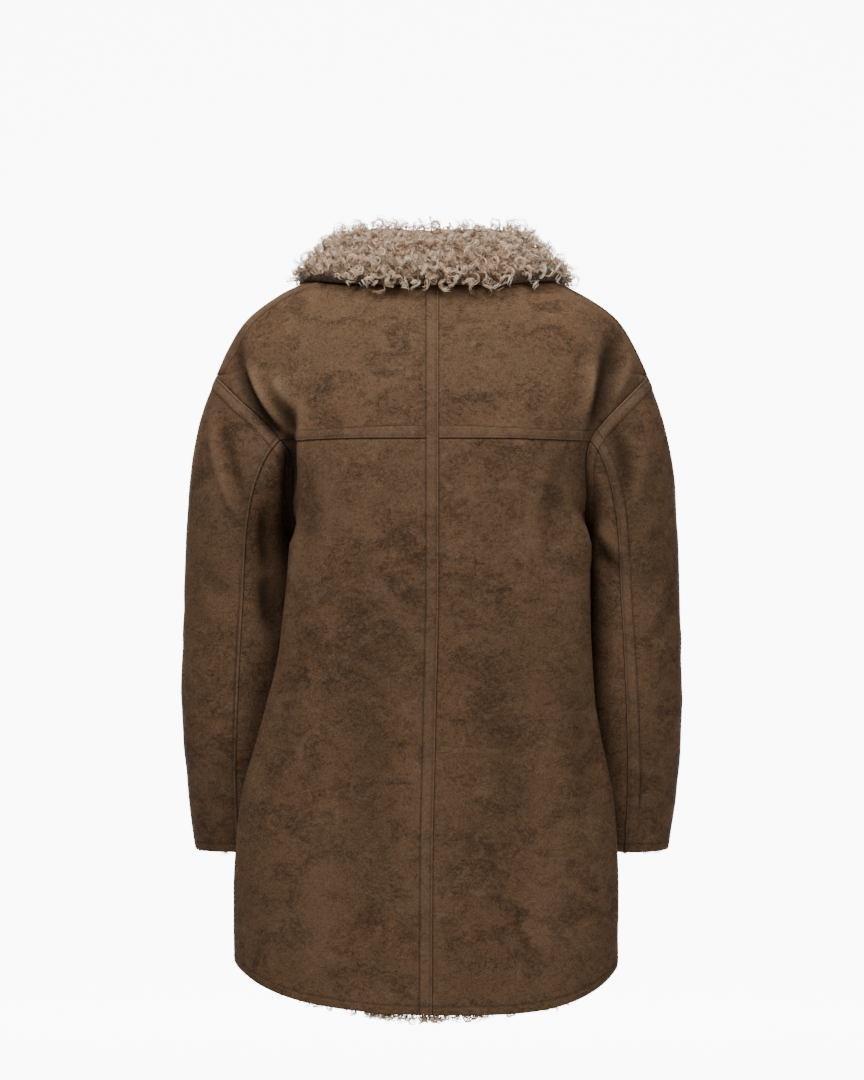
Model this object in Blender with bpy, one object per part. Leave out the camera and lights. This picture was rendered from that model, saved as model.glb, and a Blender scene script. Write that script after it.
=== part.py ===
"""Shearling coat, worn and empty: suede outside, curly pile inside, open at neck, front, hem and cuffs.

The outer face of every panel belongs to one shared skin. Its torso half is a stack of rows that run from the
centre line to the shoulder seam, the armhole or the side seam, and its sleeves are rails from the armhole to
the cuff. The skin is welded, its normals give the inner face, and it is then cut into the sewn pieces.
The wearer faces -Y and their left side is at +X. Z is 0 at the nape seam.
"""

import math

import bmesh
import bpy
import numpy as np

# Cloth, in metres
WALL = 0.008
SEAM_GAP = 0.0003
LAP_WIDTH = 0.014
LAP_STEP = 0.0015
LAP_RAISE = 0.0008
COLLAR_PILE = 0.016

# How finely the skin is divided
SHOULDER_ROWS = 7
ARMHOLE_ROWS = 12
SIDE_ROWS = 17
YOKE_ROW = SHOULDER_ROWS + 6
ARMPIT_ROW = SHOULDER_ROWS + ARMHOLE_ROWS
HEM_ROW = ARMPIT_ROW + SIDE_ROWS
BACK_COLUMNS = 11
FRONT_COLUMNS = 10
UPPER_RINGS = 11
LOWER_RINGS = 11
FINE = 80

# Heights of the centre lines at the rows where the outer seam changes
BACK_LEVELS = {0: 0.004, SHOULDER_ROWS: -0.088, YOKE_ROW: -0.175, ARMPIT_ROW: -0.285, HEM_ROW: -0.784}
FRONT_LEVELS = {0: -0.085, SHOULDER_ROWS: -0.136, ARMPIT_ROW: -0.285, HEM_ROW: -0.776}

# Centre back: height, how far it stands behind the shoulder line
CENTRE_BACK = (
    (0.004, 0.066),
    (-0.022, 0.088),
    (-0.060, 0.110),
    (-0.110, 0.127),
    (-0.175, 0.138),
    (-0.285, 0.144),
    (-0.450, 0.140),
    (-0.620, 0.144),
    (-0.784, 0.152),
)
# Front edge: height, distance from the middle, how far it stands in front
FRONT_EDGE = (
    (-0.085, 0.020, -0.108),
    (-0.150, 0.021, -0.126),
    (-0.250, 0.022, -0.138),
    (-0.400, 0.024, -0.138),
    (-0.600, 0.030, -0.143),
    (-0.776, 0.038, -0.150),
)
# Seams as points on the left side: across, depth, height
SHOULDER_SEAM = (
    (0.092, 0.004, 0.012),
    (0.142, 0.006, -0.003),
    (0.176, 0.006, -0.021),
    (0.205, 0.005, -0.045),
    (0.222, 0.003, -0.072),
    (0.236, 0.000, -0.102),
)
ARMHOLE_BACK = (
    (0.236, 0.000, -0.102),
    (0.233, 0.032, -0.107),
    (0.219, 0.061, -0.121),
    (0.190, 0.088, -0.150),
    (0.162, 0.098, -0.182),
    (0.155, 0.064, -0.240),
    (0.143, 0.000, -0.287),
)
ARMHOLE_FRONT = (
    (0.236, 0.000, -0.102),
    (0.233, -0.030, -0.107),
    (0.218, -0.058, -0.122),
    (0.188, -0.082, -0.152),
    (0.162, -0.088, -0.186),
    (0.154, -0.056, -0.241),
    (0.143, 0.000, -0.287),
)
# Torso below the armpit: height, half width, depth of the side seam, how far the arm presses the side in
SIDE_SECTIONS = (
    (-0.287, 0.166, 0.000, 0.023),
    (-0.340, 0.172, 0.001, 0.032),
    (-0.400, 0.182, 0.001, 0.048),
    (-0.470, 0.200, -0.003, 0.066),
    (-0.540, 0.217, -0.010, 0.077),
    (-0.620, 0.222, -0.018, 0.077),
    (-0.715, 0.219, -0.020, 0.055),
)
HOLLOW_REACH = 0.105
# Row shapes: row, turn at its outer end in degrees, squareness, how late it leaves the centre height
BACK_ROWS = (
    (0, 90, 2.0, 2.0),
    (SHOULDER_ROWS, 90, 2.2, 2.5),
    (SHOULDER_ROWS + 2, 66, 2.3, 3.0),
    (YOKE_ROW, 58, 2.7, 4.0),
    (YOKE_ROW + 3, 72, 3.0, 4.0),
    (ARMPIT_ROW, 90, 3.0, 4.0),
    (HEM_ROW, 90, 3.0, 5.0),
)
FRONT_ROWS = (
    (0, 90, 2.0, 1.7),
    (SHOULDER_ROWS, 90, 2.2, 2.2),
    (SHOULDER_ROWS + 2, 66, 2.3, 2.6),
    (YOKE_ROW, 58, 2.6, 3.0),
    (YOKE_ROW + 3, 72, 2.7, 3.0),
    (ARMPIT_ROW, 90, 2.7, 3.0),
    (HEM_ROW, 90, 2.7, 4.0),
)
# Sleeve below the armhole: height, middle across, middle depth, half width, half depth
SLEEVE_SECTIONS = (
    (-0.345, 0.2125, 0.002, 0.0605, 0.063),
    (-0.400, 0.2155, 0.003, 0.0595, 0.062),
    (-0.460, 0.2180, 0.002, 0.0570, 0.060),
    (-0.540, 0.2200, -0.008, 0.0520, 0.056),
    (-0.624, 0.2165, -0.022, 0.0450, 0.051),
)
# Direction in which the sleeve leaves the armhole, at the shoulder and under the arm
LEAVES_TOP = (0.44, 0.0, -0.90)
LEAVES_ARMPIT = (0.80, 0.0, -0.60)
SLEEVE_TWIST = math.radians(8)
BACK_SEAM_RAIL = 6
FRONT_SEAM_RAIL = 18

# Collar: place from nape to front end, stand, lean towards the neck, reach of the fall, drop of the fall
COLLAR_SECTIONS = (
    (0.00, 0.032, 0.004, 0.016, 0.012),
    (0.25, 0.030, 0.003, 0.028, 0.016),
    (0.40, 0.022, 0.002, 0.050, 0.013),
    (0.60, 0.018, 0.001, 0.056, 0.040),
    (0.80, 0.014, 0.001, 0.048, 0.062),
    (1.00, 0.010, 0.002, 0.034, 0.082),
)
COLLAR_FOLD = 0.005
FALL_STEPS = 4
COLLAR_CLEAR = 0.002
# Thickness of the collar's wall from the neck seam, up the stand, over the fold and down to the edge
COLLAR_WALL = ((0.0, 0.009), (0.3, 0.012), (0.5, COLLAR_PILE), (0.9, COLLAR_PILE), (1.0, 0.013))

# The hem hangs a little to the wearer's left: height, shift
SWAY = ((0.1, 0.0), (-0.35, 0.0), (-0.60, 0.006), (-0.80, 0.007))
# Largest folds: side, start, end, half width, height of the ridge or depth of the trough
FOLDS = (
    ("left", (0.203, 0.058, -0.092), (0.184, 0.078, -0.147), 0.020, -0.006),
    ("left", (0.184, 0.078, -0.147), (0.163, 0.086, -0.178), 0.018, -0.006),
    ("left", (0.186, 0.074, -0.098), (0.166, 0.090, -0.160), 0.015, 0.004),
    ("left", (0.160, 0.100, -0.110), (0.152, 0.095, -0.165), 0.016, -0.006),
    ("left", (0.240, 0.020, -0.140), (0.212, 0.060, -0.255), 0.018, -0.005),
    ("right", (0.187, 0.076, -0.055), (0.176, 0.086, -0.140), 0.020, -0.005),
    ("right", (0.236, 0.030, -0.160), (0.206, 0.066, -0.270), 0.018, -0.004),
    ("right", (0.176, 0.062, -0.275), (0.206, 0.066, -0.320), 0.016, 0.004),
)

# Edges sharper than this are drawn as edges
SHARP = math.radians(50)
# Colour as linear red, green and blue, then roughness
SUEDE = ((0.130, 0.075, 0.044), 0.85)
PILE = ((0.360, 0.260, 0.190), 0.95)


def smooth(keys, values, at):
    """Cubic curve through the values at the keys, each key's slope taken from its neighbours."""
    keys = np.asarray(keys, float)
    values = np.asarray(values, float)
    if keys[0] > keys[-1]:
        keys, at = -keys, -np.asarray(at, float)
    at = np.clip(at, keys[0], keys[-1])
    slopes = np.gradient(values, keys, axis=0)
    low = np.clip(np.searchsorted(keys, at, side="right") - 1, 0, len(keys) - 2)
    span = keys[low + 1] - keys[low]
    part = (at - keys[low]) / span
    if values.ndim > 1:
        span, part = span[..., None], part[..., None]
    before = (2 * part**3 - 3 * part**2 + 1) * values[low]
    before = before + (part**3 - 2 * part**2 + part) * span * slopes[low]
    after = (3 * part**2 - 2 * part**3) * values[low + 1]
    after = after + (part**3 - part**2) * span * slopes[low + 1]
    return before + after


def lengths_of(points):
    """Distance along a line of points, from its first one."""
    steps = np.linalg.norm(np.diff(points, axis=0), axis=1)
    return np.concatenate([[0.0], np.cumsum(steps)])


def resample(points, places):
    """Points of a line at the given distances along it."""
    lengths = lengths_of(points)
    return np.stack([np.interp(places, lengths, points[:, axis]) for axis in range(3)], axis=1)


def seam(points, count):
    """Points spaced evenly along the smooth curve through a seam's named points."""
    points = np.asarray(points, float)
    keys = lengths_of(points)
    line = smooth(keys, points, np.linspace(0, keys[-1], FINE * 4))
    return resample(line, np.linspace(0, lengths_of(line)[-1], count + 1))


def unit(vectors):
    return vectors / np.linalg.norm(vectors, axis=-1, keepdims=True)


def row_heights(levels):
    """Height of every row at a centre line, with even steps between the named levels."""
    return np.interp(np.arange(HEM_ROW + 1), list(levels), list(levels.values()))


def side_seam():
    heights = np.linspace(SIDE_SECTIONS[0][0], SIDE_SECTIONS[-1][0], SIDE_ROWS + 1)
    table = np.array(SIDE_SECTIONS)
    width, depth = smooth(table[:, 0], table[:, 1:3], heights).T
    return np.stack([width, depth, heights], axis=1)


def outer_chain(armhole):
    """The edge where the rows end: shoulder seam, armhole, side seam before the arm presses it in."""
    shoulder = seam(SHOULDER_SEAM, SHOULDER_ROWS)
    around = seam(armhole, ARMHOLE_ROWS)
    return np.concatenate([shoulder, around[1:], side_seam()[1:]])


def torso_row(centre, edge, shape):
    """An arc of a superellipse from the centre line to the edge, ending at its own turn."""
    turn, square, late = shape
    angle = np.linspace(0, math.radians(min(turn, 90)), FINE)
    across = np.sin(angle) ** (2 / square)
    back = 1 - np.cos(angle).clip(0) ** (2 / square)
    shares = np.column_stack([across / across[-1], back / back[-1]])
    flat = centre[:2] + (edge[:2] - centre[:2]) * shares
    share = lengths_of(flat)
    share = share / share[-1]
    height = centre[2] + (edge[2] - centre[2]) * np.sin(share * math.pi / 2) ** late
    return np.column_stack([flat, height])


def press_depth(row, height):
    """How far the arm presses a row's outer end in. It grows from nothing along the armhole."""
    table = np.array(SIDE_SECTIONS)
    along_armhole = np.clip((row - SHOULDER_ROWS) / ARMHOLE_ROWS, 0, 1)
    return smooth(table[:, 0], table[:, 3], height) * along_armhole


def torso_grid(centres, chain, shapes, columns):
    """Rows of points from the centre line to the outer chain, each at the columns' places."""
    table = np.array(shapes, float)
    grid = []
    for row, (centre, edge) in enumerate(zip(centres, chain)):
        depth = press_depth(row, edge[2])
        wide = edge + (depth if row <= ARMPIT_ROW else 0, 0, 0)
        line = torso_row(centre, wide, smooth(table[:, 0], table[:, 1:], np.float64(row)))
        away = lengths_of(line)[-1] - lengths_of(line)
        line[:, 0] -= depth * np.cos(np.clip(away / HOLLOW_REACH, 0, 1) * math.pi / 2) ** 2
        grid.append(resample(line, columns(lengths_of(line)[-1])))
    return np.array(grid)


def back_columns(length):
    """The centre lap's edge and step, then even places to the outer end."""
    edge = LAP_WIDTH / 2
    return np.concatenate([[0.0, edge], np.linspace(edge + LAP_STEP, length, BACK_COLUMNS)])


def front_columns(length):
    return np.linspace(0, length, FRONT_COLUMNS + 1)


def back_grid():
    heights = row_heights(BACK_LEVELS)
    table = np.array(CENTRE_BACK)
    centres = np.column_stack([np.zeros_like(heights), smooth(table[:, 0], table[:, 1], heights), heights])
    return torso_grid(centres, outer_chain(ARMHOLE_BACK), BACK_ROWS, back_columns)


def front_grid():
    heights = row_heights(FRONT_LEVELS)
    table = np.array(FRONT_EDGE)
    centres = np.column_stack([smooth(table[:, 0], table[:, 1:], heights), heights])
    return torso_grid(centres, outer_chain(ARMHOLE_FRONT), FRONT_ROWS, front_columns)


def sleeve_ring(height, count):
    """A level ellipse of the sleeve, its first point outermost and the next ones towards the back."""
    table = np.array(SLEEVE_SECTIONS)
    middle_x, middle_y, half_x, half_y = smooth(table[:, 0], table[:, 1:], np.float64(height))
    angle = np.arange(count) * 2 * math.pi / count + SLEEVE_TWIST
    return np.column_stack(
        [middle_x + half_x * np.cos(angle), middle_y + half_y * np.sin(angle), np.full(count, height)]
    )


def sleeve_grid(armhole):
    """Rails that leave the armhole in one direction, meet the first level ring and run on to the cuff."""
    count = len(armhole)
    ring = sleeve_ring(SLEEVE_SECTIONS[0][0], count)
    below = sleeve_ring(SLEEVE_SECTIONS[0][0] - 0.01, count)
    reach = np.linalg.norm(ring - armhole, axis=1, keepdims=True) / 3
    under = (1 - np.cos(np.arange(count) * 2 * math.pi / count))[:, None] / 2
    near = armhole + reach * unit((1 - under) * LEAVES_TOP + under * LEAVES_ARMPIT)
    far = ring - reach * unit(below - ring)
    part = np.linspace(0, 1, FINE)[:, None, None]
    rails = (
        (1 - part) ** 3 * armhole
        + 3 * (1 - part) ** 2 * part * near
        + 3 * (1 - part) * part**2 * far
        + part**3 * ring
    )
    columns = []
    for rail in range(count):
        length = lengths_of(rails[:, rail])[-1]
        places = np.concatenate([[0.0, LAP_WIDTH], np.linspace(LAP_WIDTH + LAP_STEP, length, UPPER_RINGS)])
        columns.append(resample(rails[:, rail], places))
    upper = np.stack(columns, axis=1)
    heights = np.linspace(SLEEVE_SECTIONS[0][0], SLEEVE_SECTIONS[-1][0], LOWER_RINGS + 1)[1:]
    lower = np.array([sleeve_ring(height, count) for height in heights])
    return np.concatenate([upper, lower])


class Skin:
    """The coat's outer face: quads of shared points, each with the name of its sewn piece."""

    def __init__(self):
        self.points = []
        self.count = 0
        self.quads = []
        self.names = []
        self.laps = []

    def add_grid(self, points, name_of, in_lap, reverse, closed=False):
        """Adds a grid's quads. name_of names a quad's piece, in_lap says if a point lies in a lap."""
        rows, columns = points.shape[:2]
        ids = self.count + np.arange(rows * columns).reshape(rows, columns)
        self.points.append(points.reshape(-1, 3))
        self.count += rows * columns
        for row in range(rows - 1):
            for column in range(columns if closed else columns - 1):
                after = (column + 1) % columns
                name = name_of(row, column)
                corners = ((row, column), (row + 1, column), (row + 1, after), (row, after))
                order = corners[::-1] if reverse else corners
                self.quads.append([ids[corner] for corner in order])
                self.laps.append([in_lap(name, *corner) for corner in order])
                self.names.append(name)

    def weld(self):
        points = np.concatenate(self.points)
        _, first, index = np.unique(np.round(points, 6), axis=0, return_index=True, return_inverse=True)
        self.points = points[first]
        self.quads = index.reshape(-1)[np.array(self.quads)]
        self.names = np.array(self.names)
        self.laps = np.array(self.laps)

    def normals(self):
        """Each point's normal, from the area of the quads around it."""
        corner = self.points[self.quads]
        area = np.cross(corner[:, 2] - corner[:, 0], corner[:, 3] - corner[:, 1])
        total = np.zeros_like(self.points)
        for place in range(4):
            np.add.at(total, self.quads[:, place], area)
        return unit(total)

    def fold(self):
        """Moves points along their normals: a bell across each fold's line, fading over its rounded ends."""
        normals = self.normals()
        move = np.zeros(len(self.points))
        for side, start, end, width, height in FOLDS:
            turn = (1, 1, 1) if side == "left" else (-1, 1, 1)
            start, end = np.array(start) * turn, np.array(end) * turn
            run = end - start
            part = np.clip((self.points - start) @ run / (run @ run), 0, 1)
            away = np.linalg.norm(self.points - start - part[:, None] * run, axis=1)
            move += height * np.exp(-((away / width) ** 2))
        self.points += move[:, None] * normals

    def nearest(self, places):
        """Index of the skin point that is nearest to each place."""
        gaps = np.linalg.norm(self.points[None] - np.asarray(places)[:, None], axis=2)
        return gaps.argmin(axis=1)


def placed(grid, mirrored, swayed):
    """The grid on its own side, and shifted sideways towards the hem where it belongs to the torso."""
    points = grid * (-1, 1, 1) if mirrored else grid.copy()
    if swayed:
        table = np.array(SWAY)
        points[..., 0] += np.interp(-points[..., 2], -table[:, 0], table[:, 1])
    return points


def back_lap(name, row, column):
    """The centre lap belongs to the left pieces, and the yoke laps over the back below it."""
    return (name.endswith("left") and column <= 1) or (name.startswith("yoke") and row >= YOKE_ROW - 1)


def front_lap(name, row, column):
    return False


def sleeve_lap(name, ring, rail):
    """The upper sleeve laps over the torso at the armhole, and over the under sleeve at the back seam."""
    if not name.startswith("upper"):
        return False
    if ring <= 1:
        return rail not in (BACK_SEAM_RAIL, FRONT_SEAM_RAIL)
    return rail in (BACK_SEAM_RAIL - 1, BACK_SEAM_RAIL)


def add_side(skin, side, back, front, sleeve):
    """Adds one side's three grids. Their quads are named for the pieces that are cut from them."""

    def back_name(row, column):
        half = "left" if column == 0 else side
        return ("yoke_" if row < YOKE_ROW else "back_") + half

    def front_name(row, column):
        return "front_" + side

    def sleeve_name(ring, rail):
        under = BACK_SEAM_RAIL <= rail < FRONT_SEAM_RAIL
        return ("under_sleeve_" if under else "upper_sleeve_") + side

    mirrored = side == "right"
    skin.add_grid(placed(back, mirrored, True), back_name, back_lap, not mirrored)
    skin.add_grid(placed(front, mirrored, True), front_name, front_lap, mirrored)
    skin.add_grid(placed(sleeve, mirrored, False), sleeve_name, sleeve_lap, mirrored, closed=True)


def build_skin():
    """The welded skin, and the neck seam's places from the right front end over the nape to the left one."""
    back, front = back_grid(), front_grid()
    around = [back[SHOULDER_ROWS : ARMPIT_ROW + 1, -1], front[ARMPIT_ROW - 1 : SHOULDER_ROWS : -1, -1]]
    sleeve = sleeve_grid(np.concatenate(around))
    shared = list(range(SHOULDER_ROWS + 1)) + list(range(ARMPIT_ROW, HEM_ROW + 1))
    front[shared, -1] = back[shared, -1]
    skin = Skin()
    for side in ("left", "right"):
        add_side(skin, side, back, front, sleeve)
    skin.weld()
    half = np.concatenate([front[0], back[0, -2::-1]])
    neck = skin.nearest(np.concatenate([half * (-1, 1, 1), half[-2::-1]]))
    skin.fold()
    return skin, neck


def border_shift(quads, points, normals):
    """How far each border point moves into its piece, so that two pieces keep the seam gap."""
    edges = {}
    for quad in quads:
        for start, end in zip(quad, np.roll(quad, -1)):
            edges[(start, end)] = True
    border = [edge for edge in edges if (edge[1], edge[0]) not in edges]
    inward = {}
    for start, end in border:
        for point in (start, end):
            away = np.cross(normals[point], points[end] - points[start])
            inward.setdefault(point, []).append(away / np.linalg.norm(away))
    shift = {}
    for point, sides in inward.items():
        total = sides[0] + sides[1]
        shift[point] = total * (SEAM_GAP / 2) / (1 + sides[0] @ sides[1])
    return border, shift


def cut_edge(start, end, local, size):
    """Two triangles of a piece's cut edge. Both pieces at a seam split it along one diagonal."""
    outer_start, outer_end = local[start], local[end]
    inner_start, inner_end = outer_start + size, outer_end + size
    if start < end:
        return [[outer_end, outer_start, inner_end], [outer_start, inner_start, inner_end]]
    return [[outer_end, outer_start, inner_start], [outer_end, inner_start, inner_end]]


def wall_mesh(name, skin, normals):
    """A closed wall: the piece's outer face with its laps raised, its inner face, and the cut edges."""
    quads = skin.quads[skin.names == name]
    used = np.unique(quads)
    local = {point: number for number, point in enumerate(used)}
    border, shift = border_shift(quads, skin.points, normals)
    outer = skin.points[used].copy()
    for point, move in shift.items():
        outer[local[point]] += move
    inner = outer - WALL * normals[used]
    for point in np.unique(quads[skin.laps[skin.names == name]]):
        outer[local[point]] += LAP_RAISE * normals[point]
    size = len(used)
    faces = [[local[point] for point in quad] for quad in quads]
    faces += [[local[point] + size for point in quad[::-1]] for quad in quads]
    for start, end in border:
        faces += cut_edge(start, end, local, size)
    mesh = bpy.data.meshes.new(name)
    mesh.from_pydata(np.concatenate([outer, inner]).tolist(), [], faces)
    mesh.validate()
    return mesh


def collar_path(stand, lean, reach, drop):
    """The suede side of one collar section, as outward and upward distances from the neck seam."""
    turn = np.radians((135, 90, 45))
    over = np.column_stack([np.cos(turn), np.sin(turn)]) * COLLAR_FOLD + (COLLAR_FOLD - lean, stand)
    rise = [(-lean * 0.5, stand * 0.5), (-lean, stand)]
    start, end = np.array((2 * COLLAR_FOLD - lean, stand)), np.array((reach, -drop))
    part = np.linspace(0, 1, FALL_STEPS + 1)[:, None]
    fall = start + (end - start) * part
    return np.concatenate([rise, over, fall])


def lifted(places, skin, normals):
    """Places that are at least the collar's clearance above the skin."""
    near = skin.nearest(places)
    above = np.sum((places - skin.points[near]) * normals[near], axis=1)
    return places + np.clip(COLLAR_CLEAR - above, 0, None)[:, None] * normals[near]


def collar_ring(base, normal, along, place, skin, normals):
    """The two sides of one section: suede from the neck seam over the fold, and pile one wall off it."""
    outward = unit(np.array((-along[1], along[0], 0.0)))
    upward = np.array((0.0, 0.0, 1.0))
    apart = unit(np.cross(along, normal)) * SEAM_GAP
    table = np.array(COLLAR_SECTIONS)
    path = collar_path(*smooth(table[:, 0], table[:, 1:], np.float64(place)))
    suede = base + path[:, :1] * outward + path[:, 1:] * upward
    folded = len(suede) - FALL_STEPS
    suede[folded:] = lifted(suede[folded:], skin, normals)
    suede = np.concatenate([[base + apart], suede])
    slope = np.gradient(suede, axis=0)
    flat = np.column_stack([slope @ outward, slope @ upward])
    side = unit(flat)[:, :1] * upward - unit(flat)[:, 1:] * outward
    share = lengths_of(suede) / lengths_of(suede)[-1]
    wall = np.array(COLLAR_WALL)
    pile = suede + side * np.interp(share, wall[:, 0], wall[:, 1])[:, None]
    pile[0] = base + apart - WALL * normal
    return suede, pile


def collar_mesh(name, skin, normals, neck):
    """One loft of collar sections along the neck seam, closed at both front ends."""
    base = skin.points[neck]
    along = np.gradient(base, axis=0)
    run = lengths_of(base)
    places = np.abs(2 * run / run[-1] - 1)
    rings = []
    for number, place in enumerate(places):
        suede, pile = collar_ring(base[number], normals[neck[number]], along[number], place, skin, normals)
        rings.append(np.concatenate([suede, pile[::-1]]))
    size = len(rings[0])
    faces = []
    for ring in range(len(rings) - 1):
        first = ring * size
        for point in range(size):
            after = (point + 1) % size
            faces.append([first + point, first + after, first + size + after, first + size + point])
    for first in (0, (len(rings) - 1) * size):
        last = first + size - 1
        for point in range(size // 2 - 1):
            faces.append([first + point, first + point + 1, last - point - 1, last - point])
    mesh = bpy.data.meshes.new(name)
    mesh.from_pydata(np.concatenate(rings).tolist(), [], faces)
    work = bmesh.new()
    work.from_mesh(mesh)
    bmesh.ops.recalc_face_normals(work, faces=work.faces)
    work.to_mesh(mesh)
    work.free()
    return mesh


def clear_scene():
    for item in list(bpy.data.objects):
        bpy.data.objects.remove(item)


def material(name, finish):
    colour, roughness = finish
    made = bpy.data.materials.new(name)
    made.use_nodes = True
    shader = made.node_tree.nodes["Principled BSDF"]
    shader.inputs["Base Color"].default_value = (*colour, 1)
    shader.inputs["Roughness"].default_value = roughness
    shader.inputs["Metallic"].default_value = 0
    return made


def add_object(collection, mesh, finish):
    mesh.shade_smooth()
    mesh.set_sharp_from_angle(angle=SHARP)
    mesh.materials.append(finish)
    collection.objects.link(bpy.data.objects.new(mesh.name, mesh))


def main():
    clear_scene()
    collection = bpy.data.collections.new("shearling_coat")
    bpy.context.scene.collection.children.link(collection)
    suede = material("suede", SUEDE)
    skin, neck = build_skin()
    normals = skin.normals()
    for name in sorted(set(skin.names)):
        add_object(collection, wall_mesh(name, skin, normals), suede)
    add_object(collection, collar_mesh("collar", skin, normals, neck), material("pile", PILE))


main()
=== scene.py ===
"""Looks of the shearling coat: suede panels with seams and creases, curly pile, thread, light and camera.

The coat's skin repeats the cut that the solids have, on finer grids. A grid's rows run from the shoulder line
to the hem, or from the armhole to the cuff. All lengths are metres, the wearer faces -Y, left is +X.
"""

import math

import bpy
import numpy as np
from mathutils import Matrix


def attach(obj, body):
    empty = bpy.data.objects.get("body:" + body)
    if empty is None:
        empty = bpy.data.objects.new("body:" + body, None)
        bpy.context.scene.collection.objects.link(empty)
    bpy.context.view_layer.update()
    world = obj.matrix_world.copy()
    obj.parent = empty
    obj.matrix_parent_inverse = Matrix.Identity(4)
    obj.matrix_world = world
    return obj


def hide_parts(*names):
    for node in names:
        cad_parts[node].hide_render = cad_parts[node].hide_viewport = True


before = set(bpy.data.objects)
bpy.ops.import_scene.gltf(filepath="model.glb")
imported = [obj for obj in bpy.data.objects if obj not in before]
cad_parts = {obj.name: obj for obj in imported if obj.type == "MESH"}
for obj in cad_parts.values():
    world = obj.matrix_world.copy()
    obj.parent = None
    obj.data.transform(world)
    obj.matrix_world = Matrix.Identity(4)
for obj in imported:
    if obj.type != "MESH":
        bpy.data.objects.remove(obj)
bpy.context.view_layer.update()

MM = 0.001

# ---------------------------------------------------------------- the cut, as the solids have it
# Named rows of the torso's grids, at which heights and shapes are given
SHOULDER = 7
YOKE = 13
ARMPIT = 19
HEM = 36
ARMHOLE_ROWS = ARMPIT - SHOULDER
BACK_LEVELS = {0: 0.004, SHOULDER: -0.088, YOKE: -0.175, ARMPIT: -0.285, HEM: -0.784}
FRONT_LEVELS = {0: -0.085, SHOULDER: -0.136, ARMPIT: -0.285, HEM: -0.776}
# Centre back: height, how far it stands behind the shoulder line
CENTRE_BACK = (
    (0.004, 0.066),
    (-0.022, 0.088),
    (-0.060, 0.110),
    (-0.110, 0.127),
    (-0.175, 0.138),
    (-0.285, 0.144),
    (-0.450, 0.140),
    (-0.620, 0.144),
    (-0.784, 0.152),
)
# Front edge: height, distance from the middle, how far it stands in front
FRONT_EDGE = (
    (-0.085, 0.020, -0.108),
    (-0.150, 0.021, -0.126),
    (-0.250, 0.022, -0.138),
    (-0.400, 0.024, -0.138),
    (-0.600, 0.030, -0.143),
    (-0.776, 0.038, -0.150),
)
# Seams as points on the left side: across, depth, height
SHOULDER_SEAM = (
    (0.092, 0.004, 0.012),
    (0.142, 0.006, -0.003),
    (0.176, 0.006, -0.021),
    (0.205, 0.005, -0.045),
    (0.222, 0.003, -0.072),
    (0.236, 0.000, -0.102),
)
ARMHOLE_BACK = (
    (0.236, 0.000, -0.102),
    (0.233, 0.032, -0.107),
    (0.219, 0.061, -0.121),
    (0.190, 0.088, -0.150),
    (0.162, 0.098, -0.182),
    (0.155, 0.064, -0.240),
    (0.143, 0.000, -0.287),
)
ARMHOLE_FRONT = (
    (0.236, 0.000, -0.102),
    (0.233, -0.030, -0.107),
    (0.218, -0.058, -0.122),
    (0.188, -0.082, -0.152),
    (0.162, -0.088, -0.186),
    (0.154, -0.056, -0.241),
    (0.143, 0.000, -0.287),
)
# Torso below the armpit: height, half width, depth of the side seam, how far the arm presses the side in
SIDE_SECTIONS = (
    (-0.287, 0.166, 0.000, 0.023),
    (-0.340, 0.172, 0.001, 0.032),
    (-0.400, 0.182, 0.001, 0.048),
    (-0.470, 0.200, -0.003, 0.066),
    (-0.540, 0.217, -0.010, 0.077),
    (-0.620, 0.222, -0.018, 0.077),
    (-0.715, 0.219, -0.020, 0.055),
)
# How far from its outer end a row is pressed in
HOLLOW_REACH = 0.105
# Row shapes: row, turn at its outer end in degrees, squareness, how late it leaves the centre height
BACK_ROWS = (
    (0, 90, 2.0, 2.0),
    (SHOULDER, 90, 2.2, 2.5),
    (SHOULDER + 2, 66, 2.3, 3.0),
    (YOKE, 58, 2.7, 4.0),
    (YOKE + 3, 72, 3.0, 4.0),
    (ARMPIT, 90, 3.0, 4.0),
    (HEM, 90, 3.0, 5.0),
)
FRONT_ROWS = (
    (0, 90, 2.0, 1.7),
    (SHOULDER, 90, 2.2, 2.2),
    (SHOULDER + 2, 66, 2.3, 2.6),
    (YOKE, 58, 2.6, 3.0),
    (YOKE + 3, 72, 2.7, 3.0),
    (ARMPIT, 90, 2.7, 3.0),
    (HEM, 90, 2.7, 4.0),
)
# Sleeve below the armhole: height, middle across, middle depth, half width, half depth
SLEEVE_SECTIONS = (
    (-0.345, 0.2125, 0.002, 0.0605, 0.063),
    (-0.400, 0.2155, 0.003, 0.0595, 0.062),
    (-0.460, 0.2180, 0.002, 0.0570, 0.060),
    (-0.540, 0.2200, -0.008, 0.0520, 0.056),
    (-0.624, 0.2165, -0.022, 0.0450, 0.051),
)
# Directions in which a sleeve leaves its armhole, at the top and in the armpit
LEAVES_TOP = (0.44, 0.0, -0.90)
LEAVES_ARMPIT = (0.80, 0.0, -0.60)
SLEEVE_TWIST = math.radians(8)
# Rails run down the sleeve and are counted from its top over the back. Two of them carry its seams
ALL_RAILS = 24
RAIL_TURN = math.radians(15)
BACK_SEAM_RAIL = 6
FRONT_SEAM_RAIL = 18
# Collar: place from nape to front end, stand, lean towards the neck, reach of the fall, drop of the fall
COLLAR_SECTIONS = (
    (0.00, 0.032, 0.004, 0.016, 0.012),
    (0.25, 0.030, 0.003, 0.028, 0.016),
    (0.40, 0.022, 0.002, 0.050, 0.013),
    (0.60, 0.018, 0.001, 0.056, 0.040),
    (0.80, 0.014, 0.001, 0.048, 0.062),
    (1.00, 0.010, 0.002, 0.034, 0.082),
)
# Radius of the collar's fold, and how far its fall stays off the coat
COLLAR_FOLD = 0.005
COLLAR_CLEAR = 0.002
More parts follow.
